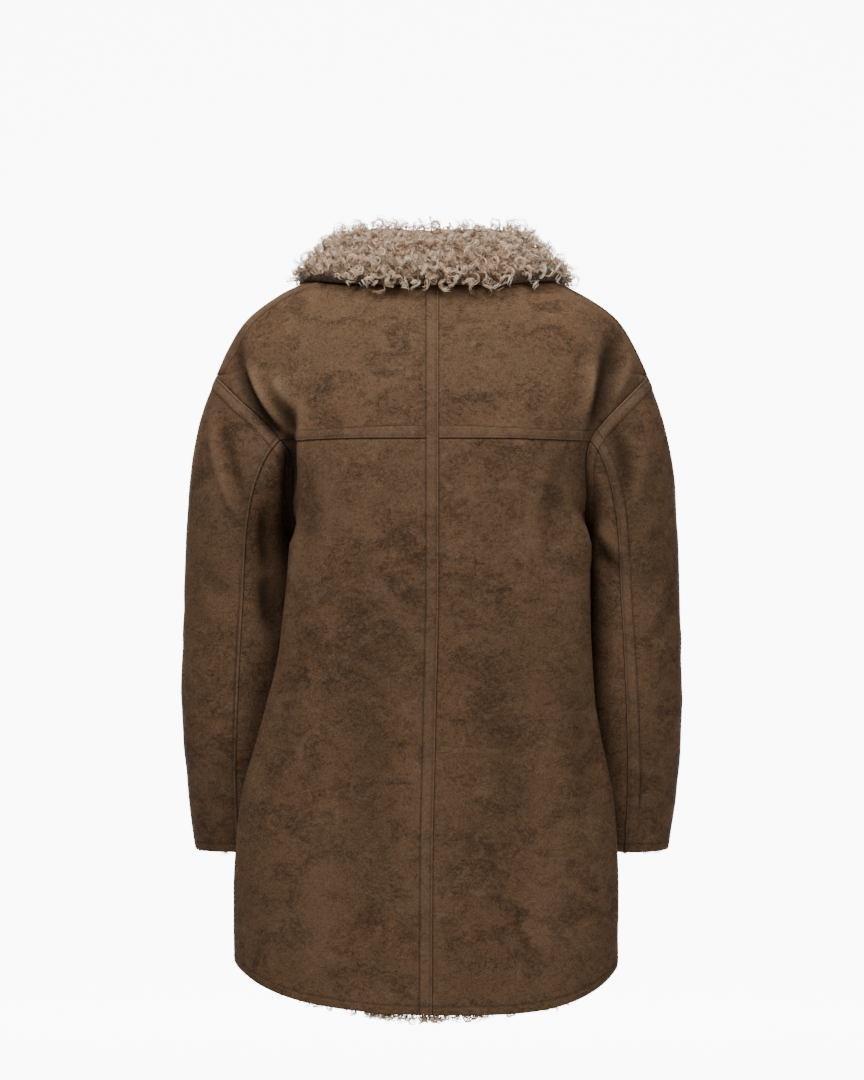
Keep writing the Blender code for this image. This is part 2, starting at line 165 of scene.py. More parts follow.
# The hem hangs a little to the wearer's left: height, shift
SWAY = ((0.1, 0.0), (-0.35, 0.0), (-0.60, 0.006), (-0.80, 0.007))

# ---------------------------------------------------------------- cloth
LAP = 7 * MM
SUEDE_WALL = 1.8 * MM
PILE_TOP = 2.0 * MM
PILE_DEEP = 7.6 * MM
PILE_SINKS = 2.6 * MM
LAP_RAISE = 0.9 * MM
RIM_ROUND = 0.7 * MM
EDGE_STITCH = 2.6 * MM
SECOND_STITCH = 13.5 * MM
LEFT_SHOULDER_STITCH = 42.0 * MM
RIGHT_SHOULDER_STITCH = 23.0 * MM
HEM_STITCH = 9.5 * MM
NARROW_STITCH = 4.2 * MM
GROOVE_DEPTH = 0.65 * MM
GROOVE_WIDTH = 1.2 * MM
# Places in from an edge where the grid has a line, so that it is fine enough for the rim and the stitch
# rows: beside a lapped seam, the same with the shoulders' far rows, beside a hem, and beside a plain edge
FINE_PLACES = np.array([0.0, 0.5, 1.2, 2.0, 2.6, 3.3, 5.0, 8.0, 11.0, 12.5, 13.5, 14.5, 16.0, 19.0]) * MM
OUTER_PLACES = np.array(
    [0.0, 0.5, 1.2, 2.0, 2.6, 3.3, 5.0, 8.0, 11.0, 12.5, 13.5, 14.5, 17.0, 20.0, 21.8, 23.0, 24.2, 27.0, 30.0,
     33.5, 37.0, 39.5, 40.8, 42.0, 43.2, 46.0]
) * MM
EDGE_PLACES = np.array([0.0, 0.6, 1.5, 4.0, 7.0, 8.4, 9.5, 10.6, 12.5, 16.0]) * MM
PLAIN_PLACES = np.array([0.0, 0.8, 2.5]) * MM
# Points of the dense lines from which the grids are read
LINE_POINTS = 240


def smooth(keys, values, at):
    """Cubic curve through the values at the keys, each key's slope taken from its neighbours."""
    keys = np.asarray(keys, float)
    values = np.asarray(values, float)
    if keys[0] > keys[-1]:
        keys, at = -keys, -np.asarray(at, float)
    at = np.clip(at, keys[0], keys[-1])
    slopes = np.gradient(values, keys, axis=0)
    low = np.clip(np.searchsorted(keys, at, side="right") - 1, 0, len(keys) - 2)
    span = keys[low + 1] - keys[low]
    part = (at - keys[low]) / span
    if values.ndim > 1:
        span, part = span[..., None], part[..., None]
    from_low = (2 * part**3 - 3 * part**2 + 1) * values[low]
    from_low = from_low + (part**3 - 2 * part**2 + part) * span * slopes[low]
    from_high = (3 * part**2 - 2 * part**3) * values[low + 1] + (part**3 - part**2) * span * slopes[low + 1]
    return from_low + from_high


def from_table(table, at):
    """A table's values at places of its first column, smooth between its lines."""
    table = np.array(table, float)
    return smooth(table[:, 0], table[:, 1:], at)


def ease(value, low, high):
    """0 below low, 1 above high, and 3t^2 - 2t^3 between them."""
    part = np.clip((value - low) / (high - low), 0, 1)
    return part * part * (3 - 2 * part)


def bell(value, width):
    """exp(-(value / width)^2)."""
    return np.exp(-((value / width) ** 2))


def unit(vectors):
    """Vectors divided by their lengths."""
    return vectors / np.maximum(np.linalg.norm(vectors, axis=-1, keepdims=True), 1e-12)


def lengths_along(lines):
    """Distance along each line of a stack of lines, from its first point."""
    steps = np.linalg.norm(np.diff(lines, axis=-2), axis=-1)
    return np.concatenate([np.zeros_like(steps[..., :1]), np.cumsum(steps, axis=-1)], axis=-1)


def on_lines(lines, places, values=None):
    """Points of each line at its own places, by one interpolation over all lines laid end to end.

    With values, these are read at the places in the points' stead.
    """
    lengths = lengths_along(lines)
    values = lines if values is None else values
    apart = (lengths.max() + 1) * np.arange(len(lines))[:, None]
    keys = (lengths + apart).ravel()
    at = (np.clip(places, 0, lengths[:, -1:]) + apart).ravel()
    read = [np.interp(at, keys, values[..., axis].ravel()) for axis in range(values.shape[-1])]
    return np.stack(read, axis=-1).reshape(*places.shape, values.shape[-1])


def along_seam(points, shares):
    """Points at shares of the length of the smooth curve through a seam's named points."""
    points = np.asarray(points, float)
    keys = lengths_along(points)
    line = smooth(keys, points, np.linspace(0, keys[-1], LINE_POINTS * 2))
    places = np.clip(shares, 0, 1) * lengths_along(line)[-1]
    return on_lines(line[None], places[None])[0]


def outer_edge(armhole, rows):
    """Where each row ends: on the shoulder seam, the armhole, or the side seam. The side seam is given as it
    lies before the arm presses it in."""
    heights = np.interp(rows, [ARMPIT, HEM], [SIDE_SECTIONS[0][0], SIDE_SECTIONS[-1][0]])
    width, depth, _ = from_table(SIDE_SECTIONS, heights).T
    shoulder = along_seam(SHOULDER_SEAM, rows / SHOULDER)
    around = along_seam(armhole, (rows - SHOULDER) / ARMHOLE_ROWS)
    side = np.stack([width, depth, heights], axis=1)
    return np.where(rows[:, None] <= SHOULDER, shoulder, np.where(rows[:, None] <= ARMPIT, around, side))


def torso_lines(rows, centres, armhole, shapes):
    """Each row as a dense line: a superellipse arc from the centre line to the outer edge, its height leaving
    the centre's late, and its outer end pressed in by depth * cos^2 of the distance from that end."""
    edge = outer_edge(armhole, rows)
    press = from_table(SIDE_SECTIONS, edge[:, 2])[:, 2] * np.clip((rows - SHOULDER) / ARMHOLE_ROWS, 0, 1)
    edge[:, 0] += np.where(rows <= ARMPIT, press, 0)
    turn, square, late = from_table(shapes, rows).T[..., None]
    angle = np.radians(np.minimum(turn, 90)) * np.linspace(0, 1, LINE_POINTS)
    across = np.sin(angle) ** (2 / square)
    back = 1 - np.cos(angle).clip(0) ** (2 / square)
    shares = np.stack([across / across[:, -1:], back / back[:, -1:]], axis=-1)
    flat = centres[:, None, :2] + (edge - centres)[:, None, :2] * shares
    share = lengths_along(flat)
    share = share / share[:, -1:]
    height = centres[:, 2:] + (edge - centres)[:, 2:] * np.sin(share * math.pi / 2) ** late
    lines = np.concatenate([flat, height[..., None]], axis=-1)
    lengths = lengths_along(lines)
    away = np.clip((lengths[:, -1:] - lengths) / HOLLOW_REACH, 0, 1)
    lines[..., 0] -= press[:, None] * np.cos(away * math.pi / 2) ** 2
    return lines


def spread(lengths, near, far, count):
    """Places along lines of these lengths: at the near and far distances from their ends, evenly between."""
    lengths = np.asarray(lengths, float)[:, None]
    part = np.linspace(0, 1, count + 2)[1:-1]
    middle = near[-1] + (lengths - near[-1] - far[-1]) * part
    return np.concatenate([near + 0 * lengths, middle, lengths - far[::-1]], axis=1)


# Rows along the armhole, closer together where the sleeve's back seam and the yoke seam meet it
BESIDE_SEAM = (5.1, 5.17, 5.35, 5.42, 5.6, 5.85, 5.9, 5.94, 5.97, 6.06)
ARM = np.unique(np.round(np.concatenate([np.arange(0, ARMHOLE_ROWS + 0.01, 0.25), BESIDE_SEAM]), 4))
# The torso grids' rows: FIRST_ARM of them over the shoulder, those of the armhole, SIDE_ROWS down the side,
# and the hem's, which lie closer together
FIRST_ARM = 25
SIDE_ROWS = 61
# About how far apart named rows lie below the armpit, and how far before the last of them the hem's start
ROW_HEIGHT = 0.0275
HEM_FROM = 0.62
ROWS = np.concatenate(
    [
        np.linspace(0, SHOULDER, FIRST_ARM + 1)[:-1],
        SHOULDER + ARM,
        ARMPIT + np.linspace(0, HEM - ARMPIT - HEM_FROM, SIDE_ROWS + 1)[1:],
        HEM - EDGE_PLACES[::-1] / ROW_HEIGHT,
    ]
)
# Indexes of the armhole's last row and of the yoke seam's. That of the armhole's first is FIRST_ARM
LAST_ARM = FIRST_ARM + len(ARM) - 1
YOKE_AT = int(np.searchsorted(ROWS, YOKE))
# Columns of the right back, the left back and a front, and rows of a sleeve, without those at their edges
RIGHT_COLUMNS, LEFT_COLUMNS, FRONT_COLUMNS, SLEEVE_ROWS = 30, 28, 32, 58


def swayed(points):
    """Points moved across by the sway at their height."""
    table = np.array(SWAY)
    moved = points.copy()
    moved[..., 0] += np.interp(-points[..., 2], -table[:, 0], table[:, 1])
    return moved


def back_skin():
    """The whole back from its right outer edge to its left one, and the column of its centre seam."""
    heights = np.interp(ROWS, list(BACK_LEVELS), list(BACK_LEVELS.values()))
    centres = np.column_stack([np.zeros_like(heights), from_table(CENTRE_BACK, heights), heights])
    lines = torso_lines(ROWS, centres, ARMHOLE_BACK, BACK_ROWS)
    reach = lengths_along(lines)[:, -1]
    right = LAP + spread(reach - LAP, PLAIN_PLACES, OUTER_PLACES, RIGHT_COLUMNS)
    left = spread(reach + LAP, FINE_PLACES, OUTER_PLACES, LEFT_COLUMNS) - LAP
    places = np.concatenate([-right[:, ::-1], left[:, 1:]], axis=1)
    points = on_lines(lines, np.abs(places))
    points[..., 0] *= np.sign(places)
    return swayed(points), right.shape[1] - 1


def front_skin():
    """The left front from its front edge to its side seam."""
    heights = np.interp(ROWS, list(FRONT_LEVELS), list(FRONT_LEVELS.values()))
    centres = np.column_stack([from_table(FRONT_EDGE, heights), heights])
    lines = torso_lines(ROWS, centres, ARMHOLE_FRONT, FRONT_ROWS)
    places = spread(lengths_along(lines)[:, -1], EDGE_PLACES, PLAIN_PLACES, FRONT_COLUMNS)
    return on_lines(lines, places)


def sleeve_ring(heights, rails):
    """Level ellipses of the sleeve: middle + half width * cos and half depth * sin of the rail's turn."""
    middle_x, middle_y, half_x, half_y = np.moveaxis(from_table(SLEEVE_SECTIONS, heights), -1, 0)
    angle = rails * RAIL_TURN + SLEEVE_TWIST
    return np.stack([middle_x + half_x * np.cos(angle), middle_y + half_y * np.sin(angle), heights], axis=-1)


# The sleeve's columns: each lies where a row of the torso meets the armhole, on the back from 0 to 12, and
# on the front below 0 or from 12 to 18
FRONT_RAILS = ARM[ARM <= ALL_RAILS - FRONT_SEAM_RAIL]
UNDER_RAILS = ALL_RAILS - ARM[ARM >= ALL_RAILS - FRONT_SEAM_RAIL]
RAILS = np.concatenate([-FRONT_RAILS[::-1], ARM[1:], UNDER_RAILS[::-1][1:]])


def sleeve_skin():
    """The left sleeve from one side of its front seam round to the other. Each rail is a cubic Bezier curve
    from the armhole to the first level ring, and then runs through the rings to the cuff."""
    rails = RAILS
    on_back = (rails >= 0) & (rails <= ARMHOLE_ROWS)
    front_share = np.where(rails < 0, -rails, ALL_RAILS - rails) / ARMHOLE_ROWS
    armhole = np.where(
        on_back[:, None],
        along_seam(ARMHOLE_BACK, rails / ARMHOLE_ROWS),
        along_seam(ARMHOLE_FRONT, front_share),
    )
    top, bottom = SLEEVE_SECTIONS[0][0], SLEEVE_SECTIONS[-1][0]
    ring = sleeve_ring(np.full(len(rails), top), rails)
    below = sleeve_ring(np.full(len(rails), top - 0.01), rails)
    reach = np.linalg.norm(ring - armhole, axis=1, keepdims=True) / 3
    under = (1 - np.cos(rails * RAIL_TURN))[:, None] / 2
    near = armhole + reach * unit((1 - under) * LEAVES_TOP + under * LEAVES_ARMPIT)
    far = ring - reach * unit(below - ring)
    part = np.linspace(0, 1, LINE_POINTS // 2)[None, :, None]
    curve = (
        (1 - part) ** 3 * armhole[:, None]
        + 3 * (1 - part) ** 2 * part * near[:, None]
        + 3 * (1 - part) * part**2 * far[:, None]
        + part**3 * ring[:, None]
    )
    heights = np.linspace(top, bottom, LINE_POINTS // 2)[1:]
    lower = sleeve_ring(np.tile(heights, (len(rails), 1)), rails[:, None])
    lines = np.concatenate([curve, lower], axis=1)
    places = spread(lengths_along(lines)[:, -1], FINE_PLACES, EDGE_PLACES, SLEEVE_ROWS)
    return on_lines(lines, places).transpose(1, 0, 2)


# ---------------------------------------------------------------- the skin's five grids
# What turns a point of the left side into one of the right side
MIRROR = np.array([-1.0, 1.0, 1.0])


def grid_normals(points, turn):
    """Cross product of the grid's two directions. turn is -1 where the columns run the other way round."""
    down = np.gradient(points, axis=0)
    over = np.gradient(points, axis=1)
    return turn * unit(np.cross(over, down))


def share_normals(normals):
    """Gives both sides of each shoulder, side, armhole and sleeve seam one normal, so that walls meet."""
    for side, column in (("left", -1), ("right", 0)):
        back, front, sleeve = normals["back"], normals["front_" + side], normals["sleeve_" + side]
        seams = np.r_[0 : FIRST_ARM + 1, LAST_ARM : len(ROWS)]
        both = unit(back[seams, column] + front[seams, -1])
        back[seams, column] = front[seams, -1] = both
        arm = slice(FIRST_ARM, LAST_ARM + 1)
        behind, before = back[arm, column], front[arm, -1]
        turn_at = len(FRONT_RAILS)
        around = np.concatenate([before[:turn_at][::-1], behind[1:], before[turn_at - 1 : -1][::-1]])
        ring = unit(sleeve[0] + around)
        sleeve[0] = ring
        before[:turn_at] = ring[:turn_at][::-1]
        behind[:] = ring[turn_at - 1 : turn_at + len(ARM) - 1]
        before[turn_at - 1 :] = ring[turn_at + len(ARM) - 2 :][::-1]
        sleeve[:, 0] = sleeve[:, -1] = unit(sleeve[:, 0] + sleeve[:, -1])
    return normals


# -1 for the grids whose columns run the other way round
TURNS = {"back": 1, "front_left": -1, "front_right": 1, "sleeve_left": -1, "sleeve_right": 1}


def skin_normals(skin):
    return share_normals({name: grid_normals(points, TURNS[name]) for name, points in skin.items()})


# Creases by the side that they are seen from: three points of the line as (across or depth, height), then
# half width, and height of the ridge or minus depth of the trough, in millimetres
CREASES = {
    "back": (
        ((0.212, -0.068), (0.197, -0.126), (0.158, -0.177), 7.5, -11.0),
        ((0.204, -0.074), (0.186, -0.126), (0.150, -0.176), 5.0, 7.0),
        ((0.172, -0.110), (0.160, -0.127), (0.142, -0.150), 6.0, 4.5),
        ((0.172, -0.132), (0.163, -0.151), (0.154, -0.172), 8.5, -5.0),
        ((0.1405, -0.126), (0.1400, -0.200), (0.1500, -0.330), 5.5, 4.5),
        ((0.152, -0.134), (0.1530, -0.205), (0.1545, -0.296), 7.0, -9.5),
        ((0.181, -0.246), (0.180, -0.286), (0.176, -0.318), 7.0, -7.0),
        ((0.178, -0.322), (0.178, -0.355), (0.168, -0.392), 9.0, -6.5),
        ((0.228, -0.140), (0.217, -0.200), (0.196, -0.252), 6.0, -4.2),
        ((0.240, -0.142), (0.228, -0.213), (0.202, -0.266), 3.3, 5.2),
        ((0.238, -0.180), (0.232, -0.240), (0.214, -0.290), 9.0, 1.8),
        ((0.250, -0.300), (0.236, -0.330), (0.212, -0.345), 8.0, -2.0),
        ((0.258, -0.352), (0.244, -0.378), (0.222, -0.396), 9.0, -2.2),
        ((0.252, -0.372), (0.240, -0.392), (0.226, -0.404), 7.0, 1.6),
        ((0.216, -0.420), (0.232, -0.444), (0.250, -0.452), 9.0, -1.6),
        ((0.244, -0.520), (0.226, -0.536), (0.206, -0.538), 8.0, -1.4),
        ((-0.198, -0.062), (-0.190, -0.110), (-0.169, -0.164), 11.0, -11.5),
        ((-0.173, -0.082), (-0.171, -0.122), (-0.159, -0.174), 5.0, 6.5),
        ((-0.214, -0.074), (-0.210, -0.104), (-0.192, -0.134), 7.0, 3.5),
        ((-0.152, -0.086), (-0.152, -0.120), (-0.148, -0.156), 9.0, -1.6),
        ((-0.194, -0.160), (-0.208, -0.196), (-0.216, -0.240), 9.0, -5.5),
        ((-0.232, -0.160), (-0.226, -0.215), (-0.210, -0.262), 8.0, 2.0),
        ((-0.178, -0.262), (-0.192, -0.286), (-0.208, -0.302), 8.0, 5.0),
        ((-0.176, -0.284), (-0.188, -0.304), (-0.200, -0.316), 8.0, -4.6),
        ((-0.258, -0.300), (-0.240, -0.324), (-0.216, -0.330), 9.0, -2.0),
        ((-0.262, -0.356), (-0.244, -0.384), (-0.220, -0.392), 8.0, -2.2),
        ((-0.212, -0.420), (-0.228, -0.446), (-0.248, -0.450), 9.0, 1.6),
        ((-0.250, -0.492), (-0.232, -0.510), (-0.212, -0.508), 8.0, -1.4),
        ((0.142, -0.200), (0.130, -0.245), (0.132, -0.300), 12.0, -2.2),
        ((0.128, -0.190), (0.112, -0.240), (0.110, -0.310), 12.0, 1.6),
        ((-0.140, -0.196), (-0.128, -0.236), (-0.130, -0.290), 12.0, -2.4),
        ((-0.124, -0.186), (-0.110, -0.240), (-0.106, -0.320), 12.0, 1.8),
        ((0.150, -0.380), (0.156, -0.470), (0.168, -0.560), 16.0, -2.0),
        ((-0.152, -0.400), (-0.160, -0.500), (-0.170, -0.590), 16.0, -2.2),
        ((0.070, -0.330), (0.062, -0.500), (0.066, -0.700), 30.0, -1.8),
        ((-0.082, -0.360), (-0.076, -0.520), (-0.082, -0.720), 28.0, -1.6),
        ((0.020, -0.420), (0.012, -0.600), (0.016, -0.760), 26.0, 1.4),
        ((0.120, -0.560), (0.118, -0.660), (0.124, -0.760), 22.0, 1.8),
        ((-0.126, -0.580), (-0.124, -0.680), (-0.130, -0.770), 22.0, 1.6),
    ),
    "front": (
        ((0.196, -0.096), (0.176, -0.136), (0.150, -0.172), 9.0, -4.2),
        ((0.184, -0.098), (0.164, -0.132), (0.144, -0.164), 7.5, 2.6),
        ((-0.194, -0.090), (-0.178, -0.130), (-0.152, -0.168), 9.0, -3.8),
        ((-0.182, -0.092), (-0.164, -0.130), (-0.146, -0.160), 7.5, 2.4),
        ((0.228, -0.150), (0.218, -0.210), (0.200, -0.250), 9.0, -3.0),
        ((-0.226, -0.146), (-0.218, -0.205), (-0.200, -0.246), 9.0, -3.0),
        ((0.254, -0.330), (0.236, -0.356), (0.208, -0.362), 9.0, -2.6),
        ((0.256, -0.392), (0.236, -0.414), (0.204, -0.412), 9.0, -2.8),
        ((0.250, -0.408), (0.234, -0.432), (0.206, -0.434), 8.0, 1.8),
        ((-0.254, -0.340), (-0.236, -0.364), (-0.208, -0.370), 9.0, -2.6),
        ((-0.256, -0.386), (-0.238, -0.410), (-0.206, -0.420), 9.0, -2.8),
        ((-0.250, -0.446), (-0.234, -0.466), (-0.206, -0.462), 8.0, -2.0),
        ((0.130, -0.210), (0.118, -0.300), (0.124, -0.380), 14.0, -2.2),
        ((-0.132, -0.206), (-0.120, -0.290), (-0.126, -0.400), 14.0, -2.4),
        ((0.080, -0.300), (0.074, -0.480), (0.082, -0.700), 24.0, -2.2),
        ((-0.084, -0.340), (-0.076, -0.520), (-0.086, -0.720), 24.0, -2.0),
        ((0.130, -0.480), (0.132, -0.600), (0.140, -0.740), 20.0, 2.0),
        ((-0.132, -0.500), (-0.134, -0.620), (-0.142, -0.750), 20.0, 2.0),
    ),
    "left": (
        ((0.052, -0.200), (0.010, -0.250), (-0.040, -0.262), 14.0, -0.7),
        ((0.048, -0.330), (0.004, -0.362), (-0.046, -0.352), 14.0, -0.9),
        ((0.044, -0.372), (0.000, -0.402), (-0.050, -0.398), 12.6, -1.0),
        ((0.040, -0.430), (0.000, -0.446), (-0.048, -0.436), 14.0, 0.6),
        ((0.030, -0.520), (-0.006, -0.536), (-0.050, -0.524), 14.0, -0.6),
    ),
    "right": (
        ((0.050, -0.210), (0.008, -0.256), (-0.042, -0.270), 14.0, -0.7),
        ((0.050, -0.340), (0.006, -0.370), (-0.044, -0.362), 14.0, -1.0),
        ((0.046, -0.386), (0.002, -0.414), (-0.048, -0.408), 12.6, -0.9),
        ((0.038, -0.446), (-0.002, -0.462), (-0.046, -0.452), 14.0, 0.6),
        ((0.028, -0.530), (-0.008, -0.548), (-0.052, -0.538), 14.0, -0.5),
    ),
}
# For each side: its outward direction, and the axes of a crease's points
VIEWS = {
    "back": ((0, 1, 0), (0, 2)),
    "front": ((0, -1, 0), (0, 2)),
    "left": ((1, 0, 0), (1, 2)),
    "right": ((-1, 0, 0), (1, 2)),
}
# Points of a crease's line
CREASE_STEPS = 14
# Height at which a crease has its full painted shade in its trough and its full painted highlight on its
# ridge
CREASE_FULL = 6 * MM

# Fold edges of the back beside the arms, and its left hem corner: three points of the line as (across,
# height), then half width and shift in millimetres
FOLDS = (
    ((-0.163, -0.165), (-0.150, -0.300), (-0.162, -0.470), 26.0, (-14.0, 4.0, 0.0)),
    ((-0.152, -0.255), (-0.144, -0.284), (-0.150, -0.316), 14.0, (-6.0, 2.0, 0.0)),
    ((0.152, -0.124), (0.152, -0.176), (0.150, -0.226), 14.0, (-3.0, 0.0, 0.0)),
    ((0.153, -0.198), (0.152, -0.228), (0.151, -0.256), 11.0, (-3.0, 0.0, 0.0)),
    ((0.222, -0.735), (0.170, -0.776), (0.050, -0.790), 32.0, (0.0, 0.0, 9.0)),
)


def beside_line(flat, first, middle, last, width):
    """bell(distance from a line, width) * sin^0.6 along it. The line is the quadratic curve through three
    points."""
    part = np.linspace(0, 1, CREASE_STEPS)[:, None]
    first, middle, last = np.array(first), np.array(middle), np.array(last)
    bend = 2 * middle - (first + last) / 2
    line = (1 - part) ** 2 * first + 2 * part * (1 - part) * bend + part**2 * last
    low, high = line.min(axis=0) - 3 * width * MM, line.max(axis=0) + 3 * width * MM
    near = np.all((flat > low) & (flat < high), axis=-1)
    at = flat[near]
    start, run = line[:-1], np.diff(line, axis=0)
    share = np.clip(np.sum((at[:, None] - start) * run, axis=-1) / np.sum(run * run, axis=-1), 0, 1)
    away = np.linalg.norm(at[:, None] - start - share[..., None] * run, axis=-1)
    best = away.argmin(axis=1)
    pick = np.arange(len(at))
    along = (best + share[pick, best]) / (CREASE_STEPS - 1)
    fade = np.sin(np.clip(along, 0.02, 0.98) * math.pi) ** 0.6
    field = np.zeros(flat.shape[:-1])
    field[near] = bell(away[pick, best], width * MM) * fade
    return field


def crease_field(points, normals):
    """Sum over the creases of height * beside_line. A crease acts only on cloth that faces its side."""
    field = np.zeros(points.shape[:-1])
    for view, creases in CREASES.items():
        outward, axes = VIEWS[view]
        facing = ease(normals @ np.array(outward, float), 0.15, 0.6)
        for first, middle, last, width, height in creases:
            field += height * MM * beside_line(points[..., axes], first, middle, last, width) * facing
    return field


def folded(points):
    """The skin with the back's fold edges and its left hem corner shifted."""
    behind = ease(points[..., 1:2], -0.01, 0.03)
    shift = np.zeros_like(points)
    for first, middle, last, width, way in FOLDS:
        share = beside_line(points[..., (0, 2)], first, middle, last, width)
        shift += share[..., None] * np.array(way) * MM
    return points + behind * shift


def waves(points, seed, count, shortest, longest):
    """Smooth uneven field from -1 to 1: the mean of sines along random directions, of random wave lengths."""
    draw = np.random.default_rng(seed)
    directions = unit(draw.normal(size=(count, 3)))
    sizes = draw.uniform(shortest, longest, count)
    phases = draw.uniform(0, 2 * math.pi, count)
    return np.sin(points @ (directions * 2 * math.pi / sizes[:, None]).T + phases).mean(axis=-1) * 1.6


# The soft unevenness of thick hide: height, seed, number of waves, the shortest and the longest
HIDE_WAVES = (
    (1.1 * MM, 11, 14, 0.09, 0.22),
    (0.5 * MM, 12, 16, 0.030, 0.060),
    (0.22 * MM, 13, 18, 0.014, 0.024),
)


def soften(points, normals):
    """The skin with its creases and its unevenness, and the creases' own heights."""
    creases = crease_field(points, normals)
    move = creases
    for height, seed, count, shortest, longest in HIDE_WAVES:
        move = move + height * waves(points, seed, count, shortest, longest)
    return points + move[..., None] * normals, creases


# ---------------------------------------------------------------- meshes
def quads_of(rows, columns, turn, start=0):
    """Faces of a grid, wound so that its outer side shows."""
    ids = start + np.arange(rows * columns).reshape(rows, columns)
    corners = [ids[:-1, :-1], ids[:-1, 1:], ids[1:, 1:], ids[1:, :-1]]
    order = corners if turn > 0 else corners[::-1]
    return np.stack(order, axis=-1).reshape(-1, 4)


def build_mesh(name, points, faces, material, values=None):
    """A piece from arrays of points and faces of one size, with float attributes on its points."""
    mesh = bpy.data.meshes.new(name)
    count, size = faces.shape
    mesh.vertices.add(len(points))
    mesh.vertices.foreach_set("co", np.ascontiguousarray(points, np.float32).ravel())
    mesh.loops.add(count * size)
    mesh.loops.foreach_set("vertex_index", np.ascontiguousarray(faces, np.int32).ravel())
    mesh.polygons.add(count)
    mesh.polygons.foreach_set("loop_start", np.arange(count, dtype=np.int32) * size)
    mesh.polygons.foreach_set("use_smooth", np.ones(count, dtype=bool))
    for title, data in (values or {}).items():
        attribute = mesh.attributes.new(title, "FLOAT", "POINT")
        attribute.data.foreach_set("value", np.ascontiguousarray(data, np.float32).ravel())
    mesh.update(calc_edges=True)
    mesh.validate()
    mesh.materials.append(material)
    piece = bpy.data.objects.new(name, mesh)
    bpy.context.scene.collection.objects.link(piece)
    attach(piece, "root")
    return piece


def rim_of(rows, columns):
    """Indexes of a grid's border, once round."""
    ids = np.arange(rows * columns).reshape(rows, columns)
    return np.concatenate([ids[0, :-1], ids[:-1, -1], ids[-1, :0:-1], ids[:0:-1, 0]])


def wall_piece(name, outer, inner, turn, material, values=None):
    """A closed wall between two grids: outer face, inner face turned round, and the rim between them."""
    rows, columns = outer.shape[:2]
    size = rows * columns
    rim = rim_of(rows, columns)
    after = np.roll(rim, -1)
    sides = np.stack([rim, rim + size, after + size, after], axis=-1)
    if turn < 0:
        sides = sides[:, ::-1]
    faces = np.concatenate([quads_of(rows, columns, turn), quads_of(rows, columns, -turn, size), sides])
    points = np.concatenate([outer.reshape(-1, 3), inner.reshape(-1, 3)])
    both = {title: np.concatenate([data.ravel(), data.ravel()]) for title, data in (values or {}).items()}
    return build_mesh(name, points, faces, material, both)


# ---------------------------------------------------------------- shader maths
class Wire:
    """A socket's value. Arithmetic on it adds Math nodes to its material."""

    def __init__(self, finish, socket):
        self.finish = finish
        self.socket = socket

    def math(self, operation, *others):
        return self.finish.node("ShaderNodeMath", {"operation": operation}, dict(enumerate((self, *others))))

    def __add__(self, other):
        return self.math("ADD", other)

    def __sub__(self, other):
        return self.math("SUBTRACT", other)

    def __mul__(self, other):
        return self.math("MULTIPLY", other)

    def __radd__(self, other):
        return self.math("ADD", other)

    def __rmul__(self, other):
        return self.math("MULTIPLY", other)

    def __rsub__(self, other):
        return (self * -1.0).math("ADD", other)

    def between(self, low, high):
        """0 below low, 1 above high, straight between. With low over high it falls."""
        return self.finish.node(
            "ShaderNodeMapRange",
            {"clamp": True},
            {"Value": self, "From Min": low, "From Max": high, "To Min": 0.0, "To Max": 1.0},
        )


class Finish:
    """A material under way: constants on its shader, and one method that adds any node."""

    def __init__(self, name, constants):
        self.material = bpy.data.materials.new(name)
        self.material.use_nodes = True
        self.tree = self.material.node_tree
        self.shader = self.tree.nodes["Principled BSDF"]
        for socket, value in constants.items():
            self.shader.inputs[socket].default_value = value

    def node(self, kind, settings, sockets, output=0):
        """Adds a node, sets it up, then fills its sockets with values or links."""
        made = self.tree.nodes.new(kind)
        for name, value in settings.items():
            setattr(made, name, value)
        for name, value in sockets.items():
            self.feed(made.inputs[name], value)
        return Wire(self, made.outputs[output])

    def feed(self, socket, value):
        if isinstance(value, Wire):
            self.tree.links.new(value.socket, socket)
        else:
            socket.default_value = value

    def shade(self, **sockets):
        for name, value in sockets.items():
            self.feed(self.shader.inputs[name.replace("_", " ")], value)
        return self.material

    def place(self):
        return self.node("ShaderNodeTexCoord", {}, {}, "Object")

    def attribute(self, name):
        return self.node("ShaderNodeAttribute", {"attribute_name": name}, {}, "Fac")

    def noise(self, place, scale, detail=3.0, rough=0.55, twist=0.0):
        values = {"Vector": place, "Scale": scale, "Detail": detail, "Roughness": rough, "Distortion": twist}
        return self.node("ShaderNodeTexNoise", {}, values)

    def mix(self, share, first, second):
        """A colour between two. 0, 6 and 7 are the sockets of a colour mix, and 2 is its output."""
        return self.node("ShaderNodeMix", {"data_type": "RGBA"}, {0: share, 6: first, 7: second}, 2)

    def bump(self, height, depth, strength=1.0):
        return self.node("ShaderNodeBump", {}, {"Height": height, "Distance": depth, "Strength": strength})


def colour(red, green, blue):
    """An sRGB colour from 0 to 255 as the linear one that shaders take."""
    share = np.array([red, green, blue]) / 255
    linear = np.where(share <= 0.04045, share / 12.92, ((share + 0.055) / 1.055) ** 2.4)
    return (*(float(value) for value in linear), 1.0)


# Suede: the usual brown, a redder one, one towards olive, the light one of worn wisps, also used as painted
# highlight on ridges and edges, the grey of rubbed seams, then the dark of its clouds, the rust of its fine
# cracks, and the deepest dark, also used as painted shade in troughs and along seams
SUEDE_MID = colour(108, 83, 62)
SUEDE_WARM = colour(105, 77, 56)
SUEDE_OLIVE = colour(98, 77, 56)
SUEDE_LIGHT = colour(130, 104, 82)
SUEDE_GREY = colour(124, 100, 82)
SUEDE_DARK = colour(64, 50, 36)
SUEDE_RUST = colour(66, 38, 25)
SUEDE_DEEP = colour(38, 27, 18)
THREAD = colour(40, 28, 20)
